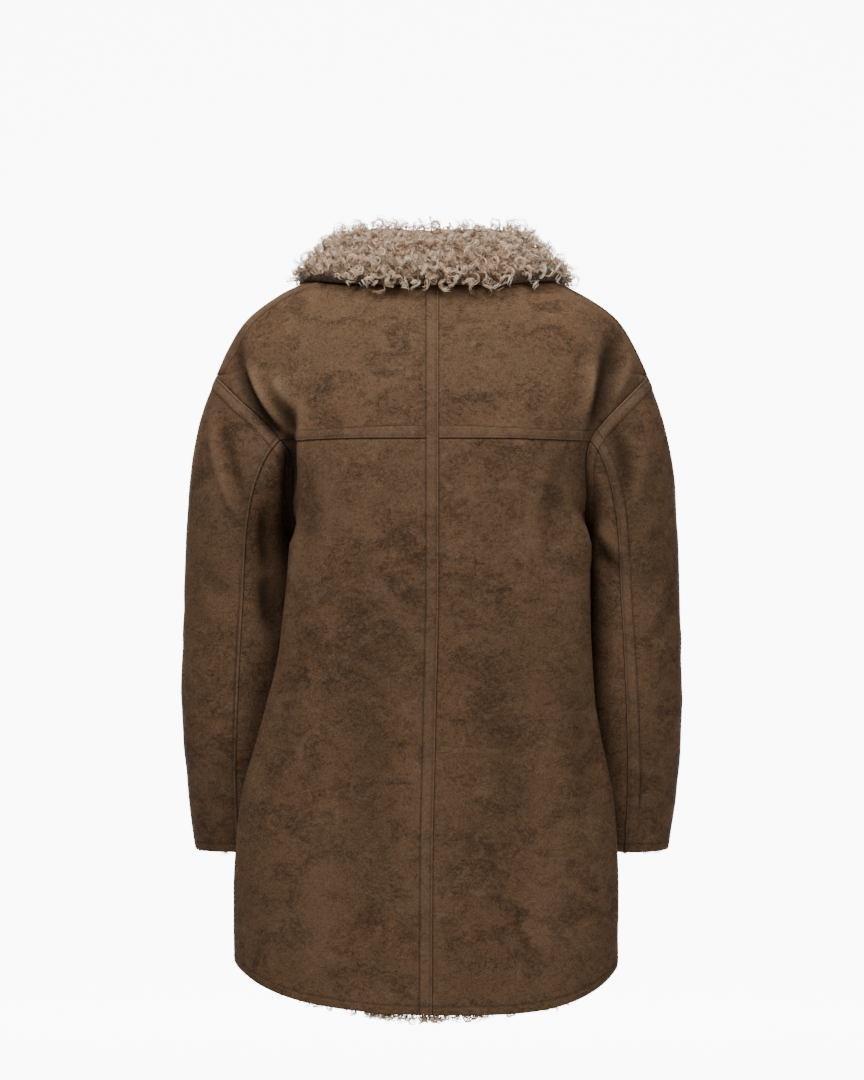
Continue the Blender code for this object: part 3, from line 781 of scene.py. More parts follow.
# Pile: the root's dark, partly painted shade, the middle, and the tip's light, partly painted highlight
PILE_ROOT = colour(94, 63, 43)
PILE_MID = colour(246, 206, 168)
PILE_TIP = colour(255, 244, 222)


def suede_finish():
    """Brown suede: dense cloudy patches, crackled lines in them, wisps of worn light brown, a speckled nap.
    The attribute skin is each cut's own number, which gives it clouds of its own."""
    made = Finish("brown_suede", {"Specular IOR Level": 0.10, "Sheen Weight": 0.04, "Sheen Roughness": 0.5})
    made.shader.inputs["Sheen Tint"].default_value = colour(190, 160, 132)
    offset = {0: made.place(), 1: made.attribute("skin")}
    place = made.node("ShaderNodeVectorMath", {"operation": "ADD"}, offset)
    level = made.node("ShaderNodeMapping", {}, {"Vector": place, "Scale": (0.86, 0.86, 1.12)})
    clouds = made.noise(place, 15.0, 4.0, 0.6, 0.4)
    areas = made.noise(level, 10.0, 3.0, 0.5, 0.6)
    blotches = made.noise(level, 27.0, 8.0, 0.66, 0.7)
    broken = made.noise(level, 150.0, 6.0, 0.72, 0.5)
    speckle = made.noise(place, 640.0, 3.0, 0.68)
    nap = made.noise(place, 1400.0, 2.0, 0.6)
    patches = (blotches * 0.58 + broken * 0.42).between(0.465, 0.575) * areas.between(0.36, 0.60)
    wisps = made.noise(level, 62.0, 7.0, 0.66, 1.1).between(0.54, 0.66)
    lines = made.noise(level, 78.0, 5.0, 0.62, 1.6)
    crackle = (lines - 0.5).math("ABSOLUTE").between(0.045, 0.008) * blotches.between(0.45, 0.58)
    flat = made.node("ShaderNodeMapping", {}, {"Vector": place, "Scale": (0.75, 0.75, 1.5)})
    threads = made.noise(flat, 52.0, 4.0, 0.6, 2.4)
    scribble = (threads - 0.5).math("ABSOLUTE").between(0.026, 0.004) * broken.between(0.42, 0.54)
    tone = made.mix(clouds.between(0.36, 0.64), SUEDE_MID, SUEDE_WARM)
    tone = made.mix(areas.between(0.62, 0.42) * 0.6, tone, SUEDE_OLIVE)
    tone = made.mix(wisps * 0.34, tone, SUEDE_LIGHT)
    tone = made.mix(patches * 0.66, tone, SUEDE_DARK)
    tone = made.mix(crackle * 0.56, tone, SUEDE_DEEP)
    tone = made.mix(scribble * 0.62, tone, SUEDE_RUST)
    tone = made.mix(speckle.between(0.46, 0.68) * 0.50, tone, SUEDE_DEEP)
    tone = made.mix(speckle.between(0.50, 0.28) * 0.30, tone, SUEDE_LIGHT)
    tone = made.mix(made.attribute("strip") * wisps.between(1.2, -0.2) * 0.16, tone, SUEDE_GREY)
    # Painted shade darkens crease troughs, and painted highlight lightens crease ridges
    tone = made.mix(made.attribute("trough_painted_shade") * 0.74, tone, SUEDE_DEEP)
    tone = made.mix(made.attribute("ridge_painted_highlight") * 0.50, tone, SUEDE_LIGHT)
    # Light brown along rounded edges: wear plus painted highlight
    tone = made.mix(made.attribute("worn_and_painted_highlight") * 0.40, tone, SUEDE_LIGHT)
    # Dark along seams: the stitch lines' own dark plus painted shade in their grooves and under laps
    tone = made.mix(made.attribute("seam_and_painted_shade") * 0.72, tone, SUEDE_DEEP)
    rough = 0.80 + 0.12 * speckle
    height = speckle * 0.5 + nap * 0.25 + broken * 0.35 + (crackle + scribble) * -0.4
    return made.shade(Base_Color=tone, Roughness=rough, Normal=made.bump(height, 0.5 * MM, 0.4))


def thread_finish():
    made = Finish("brown_thread", {"Roughness": 0.62, "Sheen Weight": 0.15})
    twist = made.noise(made.place(), 2600.0, 2.0)
    tone = made.mix(twist.between(0.35, 0.65) * 0.5, THREAD, SUEDE_DARK)
    return made.shade(Base_Color=tone, Normal=made.bump(twist, 0.15 * MM))


def pile_finish(name):
    """Curly pile: dark roots and light tips, partly painted shade deep in the pile and painted highlight on
    its outer strands, each lock a tone of its own.
    """
    made = Finish(name, {"Specular IOR Level": 0.5, "Sheen Weight": 0.40, "Sheen Roughness": 0.4})
    made.shader.inputs["Sheen Tint"].default_value = colour(240, 224, 208)
    along = made.attribute("along")
    own = made.attribute("own")
    place = made.place()
    areas = made.noise(place, 30.0, 3.0)
    # Dark roots are partly painted shade deep in the pile, and light tips and strands partly painted
    # highlight
    tone = made.mix(along.between(0.0, 0.50), PILE_ROOT, PILE_MID)
    tone = made.mix((along * 0.4 + own * 0.8).between(0.55, 1.0), tone, PILE_TIP)
    tone = made.mix(own.between(0.40, 0.05) * 0.55, tone, PILE_ROOT)
    tone = made.mix(areas.between(0.52, 0.68) * 0.30, tone, PILE_ROOT)
    fibres = made.noise(place, 1500.0, 2.0)
    rough = 0.48 + 0.2 * fibres
    return made.shade(Base_Color=tone, Roughness=rough, Normal=made.bump(fibres, 0.3 * MM, 0.5))


def fleece_finish():
    """The felted base of the pile between the locks: cells of rings round their middles, with dark gaps."""
    made = Finish("fleece_base", {"Roughness": 0.92, "Specular IOR Level": 0.1, "Sheen Weight": 0.2})
    place = made.place()
    bent = made.noise(place, 170.0, 3.0)
    sockets = {"Vector": place, "Scale": 135.0}
    cells = made.node("ShaderNodeTexVoronoi", {"feature": "F1"}, sockets, "Distance")
    rings = (cells * 13.0 + bent * 9.0).math("SINE") * 0.5 + 0.5
    full = (cells * 0.8 + bent * 0.4).between(0.80, 0.25)
    fibres = made.noise(place, 1300.0, 3.0, 0.6, 1.5)
    # Light rings and dark gaps: painted curls with painted shade between them
    tone = made.mix((rings * 0.55 + full * 0.45) * 0.56, PILE_ROOT, PILE_MID)
    tone = made.mix(fibres.between(0.4, 0.7) * 0.25, tone, PILE_TIP)
    # Painted shade: darker towards the collar's lower edge
    tone = made.mix(made.attribute("rim") * 0.75, tone, SUEDE_DARK)
    height = rings * 0.5 + full * 0.6 + fibres * 0.2
    return made.shade(Base_Color=tone, Normal=made.bump(height, 2.4 * MM))


# ---------------------------------------------------------------- panels
EDGES = ("top", "bottom", "first", "last")


def edge_lines(grid, edge):
    """The grid as lines that start at one of its edges and run inward, one for each place along the edge."""
    if edge == "top":
        return grid.transpose(1, 0, 2)
    if edge == "bottom":
        return grid[::-1].transpose(1, 0, 2)
    return grid if edge == "first" else grid[:, ::-1]


def edge_distances(grid, edge):
    """How far each point lies from an edge, measured along the grid."""
    away = lengths_along(edge_lines(grid, edge))
    if edge == "top":
        return away.T
    if edge == "bottom":
        return away.T[::-1]
    return away if edge == "first" else away[:, ::-1]


def row_share(grid, rows):
    """1 for the rows that an edge's seam covers, 0 for the others. None stands for all rows."""
    share = np.ones(grid.shape[:2])
    if rows is not None:
        share[: rows[0]] = 0
        share[rows[1] + 1 :] = 0
    return share


# All rows or columns of a grid
ALL = slice(None)


def panel_table(centre):
    """The ten cuts of the skin: name, then grid, rows, columns and edges. centre is the column of the centre
    back seam.

    An edge has a kind, and the rows that it covers, or None for all of them. A lap is raised over its
    neighbour and has two rows of stitches, a narrow lap one. A shoulder is a lap whose second row runs far
    from its edge. An under edge lies below its neighbour's lap, and a hem is a cut edge with one row of
    stitches."""
    shoulder = (0, FIRST_ARM)
    armhole = (FIRST_ARM, LAST_ARM)
    above, below = slice(0, YOKE_AT + 1), slice(YOKE_AT, None)
    lower_side = (LAST_ARM - YOKE_AT, len(ROWS) - 1 - YOKE_AT)
    lower_arm = (0, LAST_ARM - YOKE_AT)
    back_seam = int(np.searchsorted(RAILS, BACK_SEAM_RAIL))
    left, right = slice(centre, None), slice(0, centre + 1)
    table = {
        "yoke_left": ("back", above, left, (
            ("bottom", "lap", None), ("first", "lap", None), ("last", "left shoulder", shoulder),
            ("last", "under", armhole))),
        "yoke_right": ("back", above, right, (
            ("bottom", "lap", None), ("last", "under", None), ("first", "right shoulder", shoulder),
            ("first", "under", armhole))),
        "back_left": ("back", below, left, (
            ("top", "under", None), ("first", "lap", None), ("last", "lap", lower_side),
            ("last", "under", lower_arm), ("bottom", "hem", None))),
        "back_right": ("back", below, right, (
            ("top", "under", None), ("last", "under", None), ("first", "lap", lower_side),
            ("first", "under", lower_arm), ("bottom", "hem", None))),
    }
    for hand in ("left", "right"):
        table["front_" + hand] = ("front_" + hand, ALL, ALL, (
            ("first", "hem", None), ("bottom", "hem", None), ("last", "under", None)))
        table["upper_sleeve_" + hand] = ("sleeve_" + hand, ALL, slice(0, back_seam + 1), (
            ("top", "lap", None), ("last", "narrow lap" if hand == "left" else "lap", None),
            ("first", "lap", None), ("bottom", "hem", None)))
        table["under_sleeve_" + hand] = ("sleeve_" + hand, ALL, slice(back_seam, None), (
            ("top", "lap", None), ("first", "under", None), ("last", "under", None), ("bottom", "hem", None)))
    return table


# Distances of the stitch rows from each kind of edge
STITCH_ROWS = {
    "lap": (EDGE_STITCH, SECOND_STITCH),
    "left shoulder": (EDGE_STITCH, LEFT_SHOULDER_STITCH),
    "right shoulder": (EDGE_STITCH, RIGHT_SHOULDER_STITCH),
    "narrow lap": (NARROW_STITCH,),
    "hem": (HEM_STITCH,),
    "under": (),
}


# How far cloth puffs up beside a stitch row, and dips beside a lap, and how wide
PUFF = 0.35 * MM
PUFF_WIDTH = 4 * MM


def edge_move(kind, away):
    """How far cloth beside an edge is moved out. A lap is raised up to its second row of stitches and sinks
    along each row, a hem sinks along its row, every rim is rounded, and cloth under a lap dips beside it."""
    move = -RIM_ROUND * bell(away, RIM_ROUND)
    if kind not in ("hem", "under"):
        last = STITCH_ROWS[kind][-1]
        move += LAP_RAISE * ease(away, last + 4 * MM, last - 2 * MM)
    if kind == "under":
        move -= PUFF * bell(away, PUFF_WIDTH)
    for distance in STITCH_ROWS[kind]:
        move -= GROOVE_DEPTH * bell(away - distance, GROOVE_WIDTH)
        move += PUFF * bell(away - distance, PUFF_WIDTH)
    return move


# How dark a stitch row is: those at two distances from the edge, and all others
ROW_SHADES = {EDGE_STITCH: 0.35, HEM_STITCH: 0.55}
ROW_SHADE = 0.95


def edge_shade(kind, away):
    """Share of dark along a seam: in its stitch rows, the stitch line's own dark plus painted shade in its
    groove, and painted shade at a lap's cut edge and in the corner beside a lap.
    """
    dark = 0.25 * bell(away, 1.0 * MM) if kind == "under" else 0.15 * bell(away, 0.6 * MM)
    for distance in STITCH_ROWS[kind]:
        dark = dark + ROW_SHADES.get(distance, ROW_SHADE) * bell(away - distance, 0.8 * MM)
    return dark


def edge_wear_and_painted_highlight(kind, away):
    """Share of light brown along a lap's edge and on the hem's rim: wear on the cut edge plus painted
    highlight where the rounded rim catches light.
    """
    if kind == "under":
        return 0 * away
    return 0.75 * bell(away - 1.1 * MM, 0.9 * MM)


# The panels whose centre lap runs over the yoke seam, and the edge at which each has that seam
UNDER_CENTRE_LAP = (("yoke_left", "bottom"), ("back_left", "top"))


def seam_strip_fade(name, grid, edge):
    """The centre lap runs over the yoke seam, so that seam's own relief fades out inside it."""
    if (name, edge) in UNDER_CENTRE_LAP:
        return ease(edge_distances(grid, "first"), SECOND_STITCH - 2 * MM, SECOND_STITCH + 1 * MM)
    return 1.0


# How far apart the clouds of two cuts lie in their pattern
CLOUDS_APART = 0.61


def finish_panel(name, number, grid, normals, creases, turn, edges, material):
    """A suede panel: its part of the skin with relief at its edges, 1.8 mm thick."""
    move = np.zeros(grid.shape[:2])
    dark = np.zeros(grid.shape[:2])
    worn_and_painted_highlight = np.zeros(grid.shape[:2])
    strip = np.zeros(grid.shape[:2])
    for edge, kind, rows in edges:
        share = row_share(grid, rows) * seam_strip_fade(name, grid, edge)
        away = edge_distances(grid, edge)
        move = move + edge_move(kind, away) * share
        dark = np.maximum(dark, edge_shade(kind, away) * share)
        worn_and_painted_highlight = np.maximum(worn_and_painted_highlight, edge_wear_and_painted_highlight(kind, away) * share)
        if kind not in ("hem", "under"):
            last = STITCH_ROWS[kind][-1]
            strip = np.maximum(strip, ease(away, last + 0.5 * MM, last - 0.5 * MM) * share)
    move = np.clip(move, -2 * RIM_ROUND, LAP_RAISE + 0.5 * MM)
    wobble = 0.5 + 0.5 * waves(grid, 21, 10, 0.008, 0.020)
    outer = grid + move[..., None] * normals
    inner = grid - SUEDE_WALL * normals
    return outer, wall_piece("suede_" + name, outer, inner, turn, material, {
        # Dark along seams: the stitch lines' own dark plus painted shade in the grooves and under laps
        "seam_and_painted_shade": dark * (0.75 + 0.25 * wobble),
        # Light along rounded edges: wear plus painted highlight
        "worn_and_painted_highlight": worn_and_painted_highlight * wobble,
        "strip": strip,
        # Painted shade for crease troughs and painted highlight for crease ridges
        "trough_painted_shade": np.clip(-creases / CREASE_FULL, 0, 1),
        "ridge_painted_highlight": np.clip(creases / CREASE_FULL, 0, 1),
        "skin": np.full(dark.shape, number * CLOUDS_APART),
    })


# ---------------------------------------------------------------- thin round things
TUBE_SIDES = 3
TUBE_TURN = (np.arange(TUBE_SIDES) + 0.25) * 2 * math.pi / TUBE_SIDES


def tube_faces(tubes, rings):
    """Triangles of many closed tubes. A ring turns from a first to a second direction, whose cross product is
    the way that its tube runs."""
    ids = np.arange(tubes * rings * TUBE_SIDES).reshape(tubes, rings, TUBE_SIDES)
    after = np.roll(ids, -1, axis=2)
    low = np.stack([ids[:, :-1], after[:, :-1], after[:, 1:]], axis=-1).reshape(-1, 3)
    high = np.stack([ids[:, :-1], after[:, 1:], ids[:, 1:]], axis=-1).reshape(-1, 3)
    return np.concatenate([low, high, ids[:, 0, ::-1], ids[:, -1]])


# ---------------------------------------------------------------- thread
STITCH_PITCH = 3.1 * MM
STITCH_LENGTH = 2.2 * MM
STITCH_RADIUS = 0.40 * MM


def read_along(values, lengths, places):
    """Values of a line's points at places along it."""
    return np.stack([np.interp(places, lengths, values[:, axis]) for axis in range(values.shape[1])], axis=1)


def stitch_line(outer, normals, edge, distance, trims):
    """The line of a stitch row: its points lie the same distance in from the edge. trims cut its two ends."""
    lines = edge_lines(outer, edge)
    places = np.full((len(lines), 1), distance)
    points = on_lines(lines, places)[:, 0]
    outward = unit(on_lines(lines, places, edge_lines(normals, edge))[:, 0])
    lengths = lengths_along(points)
    total = lengths[-1]
    count = int((total - trims[0] - trims[1]) / STITCH_PITCH)
    if count < 1:
        return None
    middle = trims[0] + (np.arange(count) + 0.5) * (total - trims[0] - trims[1]) / count
    half = STITCH_LENGTH / 2
    ends = read_along(points, lengths, middle + half) - read_along(points, lengths, middle - half)
    return read_along(points, lengths, middle), unit(ends), unit(read_along(outward, lengths, middle))


def stitches(rows):
    """Points and faces of all stitches: each a spindle of three rings, its ends sunk in the hide."""
    middle, along, outward = (np.concatenate(part) for part in zip(*rows))
    across = unit(np.cross(outward, along))
    place = np.array([-1.0, 0.0, 1.0])
    thick = np.array([0.05, 1.1, 0.05])
    lift = np.array([-0.9, 0.7, -0.9])
    spine = (
        middle[:, None]
        + along[:, None] * (place * STITCH_LENGTH / 2)[None, :, None]
        + outward[:, None] * (lift * STITCH_RADIUS)[None, :, None]
    )
    ring = np.cos(TUBE_TURN)[:, None, None] * across + np.sin(TUBE_TURN)[:, None, None] * outward
    radius = (thick * STITCH_RADIUS)[None, :, None, None]
    points = spine[:, :, None] + radius * ring.transpose(1, 0, 2)[:, None]
    return points.reshape(-1, 3), tube_faces(*points.shape[:2])


# ---------------------------------------------------------------- collar
# Sections along the neck seam, and points of each
NECK_STEPS = 120
PATH_STEPS = 32
# The step of a section from which the fall is kept clear of the coat, and the grids that it may touch
FALL_FROM = PATH_STEPS * 2 // 5
NECK_PANELS = ("back", "front_left", "front_right")
# Thickness of the collar from the neck seam, over the fold and down to the edge
COLLAR_WALL = ((0.0, 0.009), (0.3, 0.012), (0.5, 0.016), (0.9, 0.016), (1.0, 0.013))
# Share of it that the felted base fills, and where the collar's clouds lie in their pattern
FLEECE_SHARE = 0.82
COLLAR_CLOUDS = 9.0


def collar_path(stand, lean, reach, drop):
    """One section's suede side as distances outward and up: the stand, then the fold, then the fall."""
    turn = np.radians((135, 90, 45))
    over = np.column_stack([np.cos(turn), np.sin(turn)]) * COLLAR_FOLD + (COLLAR_FOLD - lean, stand)
    rise = np.array([(0.0, 0.0), (-lean * 0.5, stand * 0.5), (-lean, stand)])
    start, end = np.array((2 * COLLAR_FOLD - lean, stand)), np.array((reach, -drop))
    fall = start + (end - start) * np.linspace(0, 1, 5)[:, None]
    corners = np.concatenate([rise, over, fall])
    keys = lengths_along(corners)
    return smooth(keys, corners, np.linspace(0, keys[-1], PATH_STEPS))


def neck_line(skin, normals):
    """The neck seam from the right front end over the nape to the left one, with the skin's normals there."""
    parts = (("front_right", 1, 0), ("back", 1, 1), ("front_left", -1, 1))
    points, outward = (
        np.concatenate([grids[name][0, ::step][start:] for name, step, start in parts])
        for grids in (skin, normals)
    )
    places = np.linspace(0, lengths_along(points)[-1], NECK_STEPS)[None]
    return on_lines(points[None], places)[0], unit(on_lines(points[None], places, outward[None])[0])


def lifted(section, points, normals):
    """Points of a section that come nearer to the skin than the clearance are moved out to it."""
    gaps = np.linalg.norm(section[:, None] - points, axis=-1)
    near = gaps.argmin(axis=1)
    above = np.sum((section - points[near]) * normals[near], axis=1)
    return section + np.clip(COLLAR_CLEAR - above, 0, None)[:, None] * normals[near]


def averaged(grid, times):
    """Each inner row and column moved to the mean of itself and its neighbours, a few times."""
    grid = grid.copy()
    for _ in range(times):
        grid[1:-1] = (grid[:-2] + 2 * grid[1:-1] + grid[2:]) / 4
        grid[:, 1:-1] = (grid[:, :-2] + 2 * grid[:, 1:-1] + grid[:, 2:]) / 4
    return grid


def collar_skin(skin, normals):
    """The collar's suede side as sections along the neck seam, and the direction towards its pile."""
    base, _ = neck_line(skin, normals)
    along = np.gradient(base, axis=0)
    run = lengths_along(base)
    places = np.abs(2 * run / run[-1] - 1)
    sizes = from_table(COLLAR_SECTIONS, places)
    outward = unit(np.column_stack([-along[:, 1], along[:, 0], 0 * run]))
    upward = np.array([0.0, 0.0, 1.0])
    paths = np.stack([collar_path(*size) for size in sizes])
    suede = base[:, None] + paths[..., :1] * outward[:, None] + paths[..., 1:] * upward
    cloth, facing = (
        np.concatenate([grids[name][:LAST_ARM:2, ::2].reshape(-1, 3) for name in NECK_PANELS])
        for grids in (skin, normals)
    )
    for number in range(NECK_STEPS):
        suede[number, FALL_FROM:] = lifted(suede[number, FALL_FROM:], cloth, facing)
    suede = averaged(suede, 3)
    side = -grid_normals(suede, 1)
    return suede, side


def collar_depth(share):
    wall = np.array(COLLAR_WALL)
    return np.interp(share, wall[:, 0], wall[:, 1])


# ---------------------------------------------------------------- curls
DOWN = np.array([0.0, 0.0, -1.0])
# Locks: length, radius of the curl, turns, least and most tilt of its axis from the surface in degrees,
# spread of its strands, strands, points of a strand, radius of a strand at its root
LOCKS = {
    "collar": (12 * MM, 4.4 * MM, 1.25, 4, 48, 1.3 * MM, 6, 8, 0.35 * MM),
    "inside": (13 * MM, 4.2 * MM, 1.3, 5, 45, 1.30 * MM, 4, 6, 0.60 * MM),
    "edge": (6.5 * MM, 2.8 * MM, 1.2, 0, 30, 0.60 * MM, 4, 6, 0.42 * MM),
}


def curls(name, kind, roots, outward, flow, seed, material):
    """Curly locks as one joined mesh. A lock's axis runs from its root by length * t, tilted up from its
    flow. Its strands wind round that axis, turns times, at an uneven radius that grows towards the tip. Each
    is lifted by 0.7 of how far its curl would dip below the root."""
    draw = np.random.default_rng(seed)
    count = len(roots)
    length, radius, turns, low, high, apart, strands, steps, thick = LOCKS[kind]
    part = np.linspace(0, 1, steps)
    tilt = np.radians(draw.uniform(low, high, (count, 1)))
    axis = np.cos(tilt) * flow + np.sin(tilt) * outward
    across = unit(np.cross(outward, flow))
    upright = np.cross(axis, across) * -1
    spin = draw.choice([-1.0, 1.0], (count, 1, 1))
    size = draw.uniform(0.6, 1.35, (count, 1, 1))
    start = draw.uniform(0, 2 * math.pi, (count, 1, 1)) + draw.normal(0, 0.22, (count, strands, 1))
    angle = start + spin * 2 * math.pi * turns * draw.uniform(0.75, 1.3, (count, 1, 1)) * part
    uneven = 1 + 0.35 * np.sin(draw.uniform(3, 7, (count, 1, 1)) * part + draw.uniform(0, 6, (count, 1, 1)))
    opened = ease(part, 0.0, 0.25) * (0.45 + 0.55 * part) * uneven
    wide = radius * size * draw.uniform(0.82, 1.18, (count, strands, 1)) * opened
    run = length * size * draw.uniform(0.85, 1.15, (count, strands, 1)) * part
    run = run + draw.normal(0, apart, (count, strands, 1)) * ease(part, 0.0, 0.30)
    lift = 0.7 * wide * np.cos(tilt)[:, None]
    lines = (
        roots[:, None, None]
        + run[..., None] * axis[:, None, None]
        + (wide * np.cos(angle))[..., None] * across[:, None, None]
        + (wide * np.sin(angle))[..., None] * upright[:, None, None]
        + lift[..., None] * outward[:, None, None]
    )
    lines = lines.reshape(-1, steps, 3)
    heading = unit(np.gradient(lines, axis=1))
    first = unit(np.cross(heading, np.repeat(outward, strands, axis=0)[:, None] + [0.01, 0.02, 0.0]))
    second = np.cross(heading, first)
    taper = thick * (1 - 0.6 * part**2)[None, :, None, None]
    ring = np.cos(TUBE_TURN)[:, None] * first[:, :, None] + np.sin(TUBE_TURN)[:, None] * second[:, :, None]
    points = lines[:, :, None] + taper * ring
    total = len(lines)
    along = np.broadcast_to(part[None, :, None], points.shape[:3])
    own = np.repeat(draw.uniform(0, 0.45, count), strands) + draw.uniform(0, 0.55, total)
    values = {"along": along, "own": np.repeat(own, steps * TUBE_SIDES)}
    piece = build_mesh(name, points.reshape(-1, 3), tube_faces(total, steps), material, values)
    return piece


def sampled(grid, row, column):
    """Values of a grid at shares of its rows and columns, straight between its points."""
    place_r = np.clip(row, 0, 1) * (grid.shape[0] - 1)
    place_c = np.clip(column, 0, 1) * (grid.shape[1] - 1)
    low_r = np.minimum(place_r.astype(int), grid.shape[0] - 2)
    low_c = np.minimum(place_c.astype(int), grid.shape[1] - 2)
    part_r, part_c = (place_r - low_r)[:, None], (place_c - low_c)[:, None]
    first = grid[low_r, low_c] * (1 - part_c) + grid[low_r, low_c + 1] * part_c
    second = grid[low_r + 1, low_c] * (1 - part_c) + grid[low_r + 1, low_c + 1] * part_c
    return first * (1 - part_r) + second * part_r


def scatter(grid, spacing, seed):
    """Shares of rows and columns, one pair in each cell of about the spacing, even over the surface."""
    draw = np.random.default_rng(seed)
    wide = lengths_along(grid).mean(axis=0)
    tall = lengths_along(grid.transpose(1, 0, 2)).mean(axis=0)
    down, over = max(2, int(tall[-1] / spacing)), max(2, int(wide[-1] / spacing))
    row = (np.arange(down)[:, None] + draw.uniform(0.02, 0.98, (down, over))) / down
    column = (np.arange(over)[None] + draw.uniform(0.02, 0.98, (down, over))) / over
    even_r = np.interp(row.ravel() * tall[-1], tall, np.linspace(0, 1, len(tall)))
    even_c = np.interp(column.ravel() * wide[-1], wide, np.linspace(0, 1, len(wide)))
    return even_r, even_c


def lying(outward, also):
    """Directions along the surface: down it, with another direction added."""
    flow = DOWN + also
    return unit(flow - np.sum(flow * outward, axis=1, keepdims=True) * outward)


def lumps(points, seed, height):
    """Rounded tufts of pile: height * the larger of two fields of short waves."""
    first = waves(points, seed, 12, 0.012, 0.020)
    second = waves(points, seed + 1, 12, 0.012, 0.020)
    return height * np.maximum(first, second)[..., None]


# Shares of the collar's width where its locks grow, where the stand ends, and where they start to hang over
COLLAR_ROOTS = (0.03, 0.962)
COLLAR_STAND = 0.22
COLLAR_HANGS = 0.88
# Distance between its locks, and share of them that the stand keeps
COLLAR_SPACING = 6.9 * MM
STAND_KEEPS = 0.4
# Stretches of its width with more locks, at the lower edge and along the fold: from, to, number of locks
COLLAR_RIMS = ((0.925, 0.965, 105), (0.24, 0.36, 80))
# Pieces that its locks are divided among, along the neck seam
COLLAR_STRETCHES = 3


def add_collar(skin, normals, suede, fleece, pile):
    """The turned-down collar: suede, a lumpy felted base over it, and three stretches of curly locks."""
    under, side = collar_skin(skin, normals)
    away = lengths_along(under)
    share = away / away[:, -1:]
    to_edge = away[:, -1:] - away
    depth = collar_depth(share)[..., None] * FLEECE_SHARE
    shell = wall_piece("suede_collar", under, under + SUEDE_WALL * side, 1, suede, {
        # A dark line 5 mm in from the collar's edge: painted shade under the pile's edge
        "seam_and_painted_shade": 0.7 * bell(to_edge - 5 * MM, 1.2 * MM),
        # Light on the collar's very edge: wear plus painted highlight on its rolled edge
        "worn_and_painted_highlight": 0.6 * bell(to_edge, 1.5 * MM),
        "skin": np.full(share.shape, COLLAR_CLOUDS),
    })
    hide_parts("collar")
    rounded = np.sqrt(np.clip(to_edge[..., None] / (5 * MM), 0.05, 1))
    top = under + side * ((depth + lumps(under, 31, 2.2 * MM)) * rounded).clip(SUEDE_WALL + PILE_TOP)
    # Painted shade on the felted base, darkest at the collar's lower edge
    rim = {"rim": bell(to_edge, 9 * MM)}
    base = wall_piece("fleece_collar", top, under + PILE_TOP * side, -1, fleece, rim)
    facing = -grid_normals(top, 1)
    draw = np.random.default_rng(41)
    row, column = scatter(top, COLLAR_SPACING, 40)
    kept = (column > COLLAR_ROOTS[0]) & (column < COLLAR_ROOTS[1])
    kept &= (column > COLLAR_STAND) | (draw.uniform(size=len(row)) < STAND_KEEPS)
    row, column = row[kept], column[kept]
    for low, high, count in COLLAR_RIMS:
        row = np.append(row, draw.uniform(0.01, 0.99, count))
        column = np.append(column, draw.uniform(low, high, count))
    roots, outward = sampled(top, row, column), unit(sampled(facing, row, column))
    hangs = 0.6 * ease(column, COLLAR_HANGS, 0.98)[:, None]
    flow = lying(outward, draw.normal(0, 1.0, roots.shape) + (hangs - 1) * DOWN)
    for number in range(COLLAR_STRETCHES):
        part = (row >= number / COLLAR_STRETCHES) & (row < (number + 1) / COLLAR_STRETCHES)
        name = f"curls_collar_{number + 1}"
        curls(name, "collar", roots[part], outward[part], flow[part], 50 + number, pile)
    return shell


# ---------------------------------------------------------------- pile inside the coat
# Every how many rows and columns of the skin a lining has one
LINING_STEP = 3
# Row of a sleeve's grid, 5 mm below the armhole, at which its lining starts
SLEEVE_LINING_FROM = 6
# Rows and columns round a point among which the deepest crease sets how far the lining lies in
LINING_REACH = 3
# Distance between the locks inside the coat
LINING_SPACING = 37 * MM
# Share of a sleeve's length from where locks can be seen through its cuff
SLEEVE_LOCKS = 0.62
# Distance from a panel's edge within which none grow, as they would reach into the next panel
LOCKS_FROM_SEAM = 16 * MM
# Under each arm, where the walls turn sharply, the lining is thinner: place on the left, reach, share taken
UNDER_ARM = ((0.154, 0.024, -0.277), 18 * MM, 0.93)


def thinned(grid):
    """Every few rows and columns of a grid, with its last ones kept."""
    rows, columns = (np.unique(np.r_[0 : size : LINING_STEP, size - 1]) for size in grid.shape[:2])
    return grid[np.ix_(rows, columns)]


def deepest(values):
    """The least value among each point's neighbours in a grid."""
    size = 2 * LINING_REACH + 1
    padded = np.pad(values, LINING_REACH, mode="edge")
    return np.lib.stride_tricks.sliding_window_view(padded, (size, size)).min(axis=(2, 3))


def thinner_under_arm(points):
    """Share * bell(distance from the place under the nearer arm, reach)."""
    place, reach, share = UNDER_ARM
    on_left = points * np.where(points[..., :1] < 0, MIRROR, 1.0)
    return share * bell(np.linalg.norm(on_left - place, axis=-1, keepdims=True), reach)


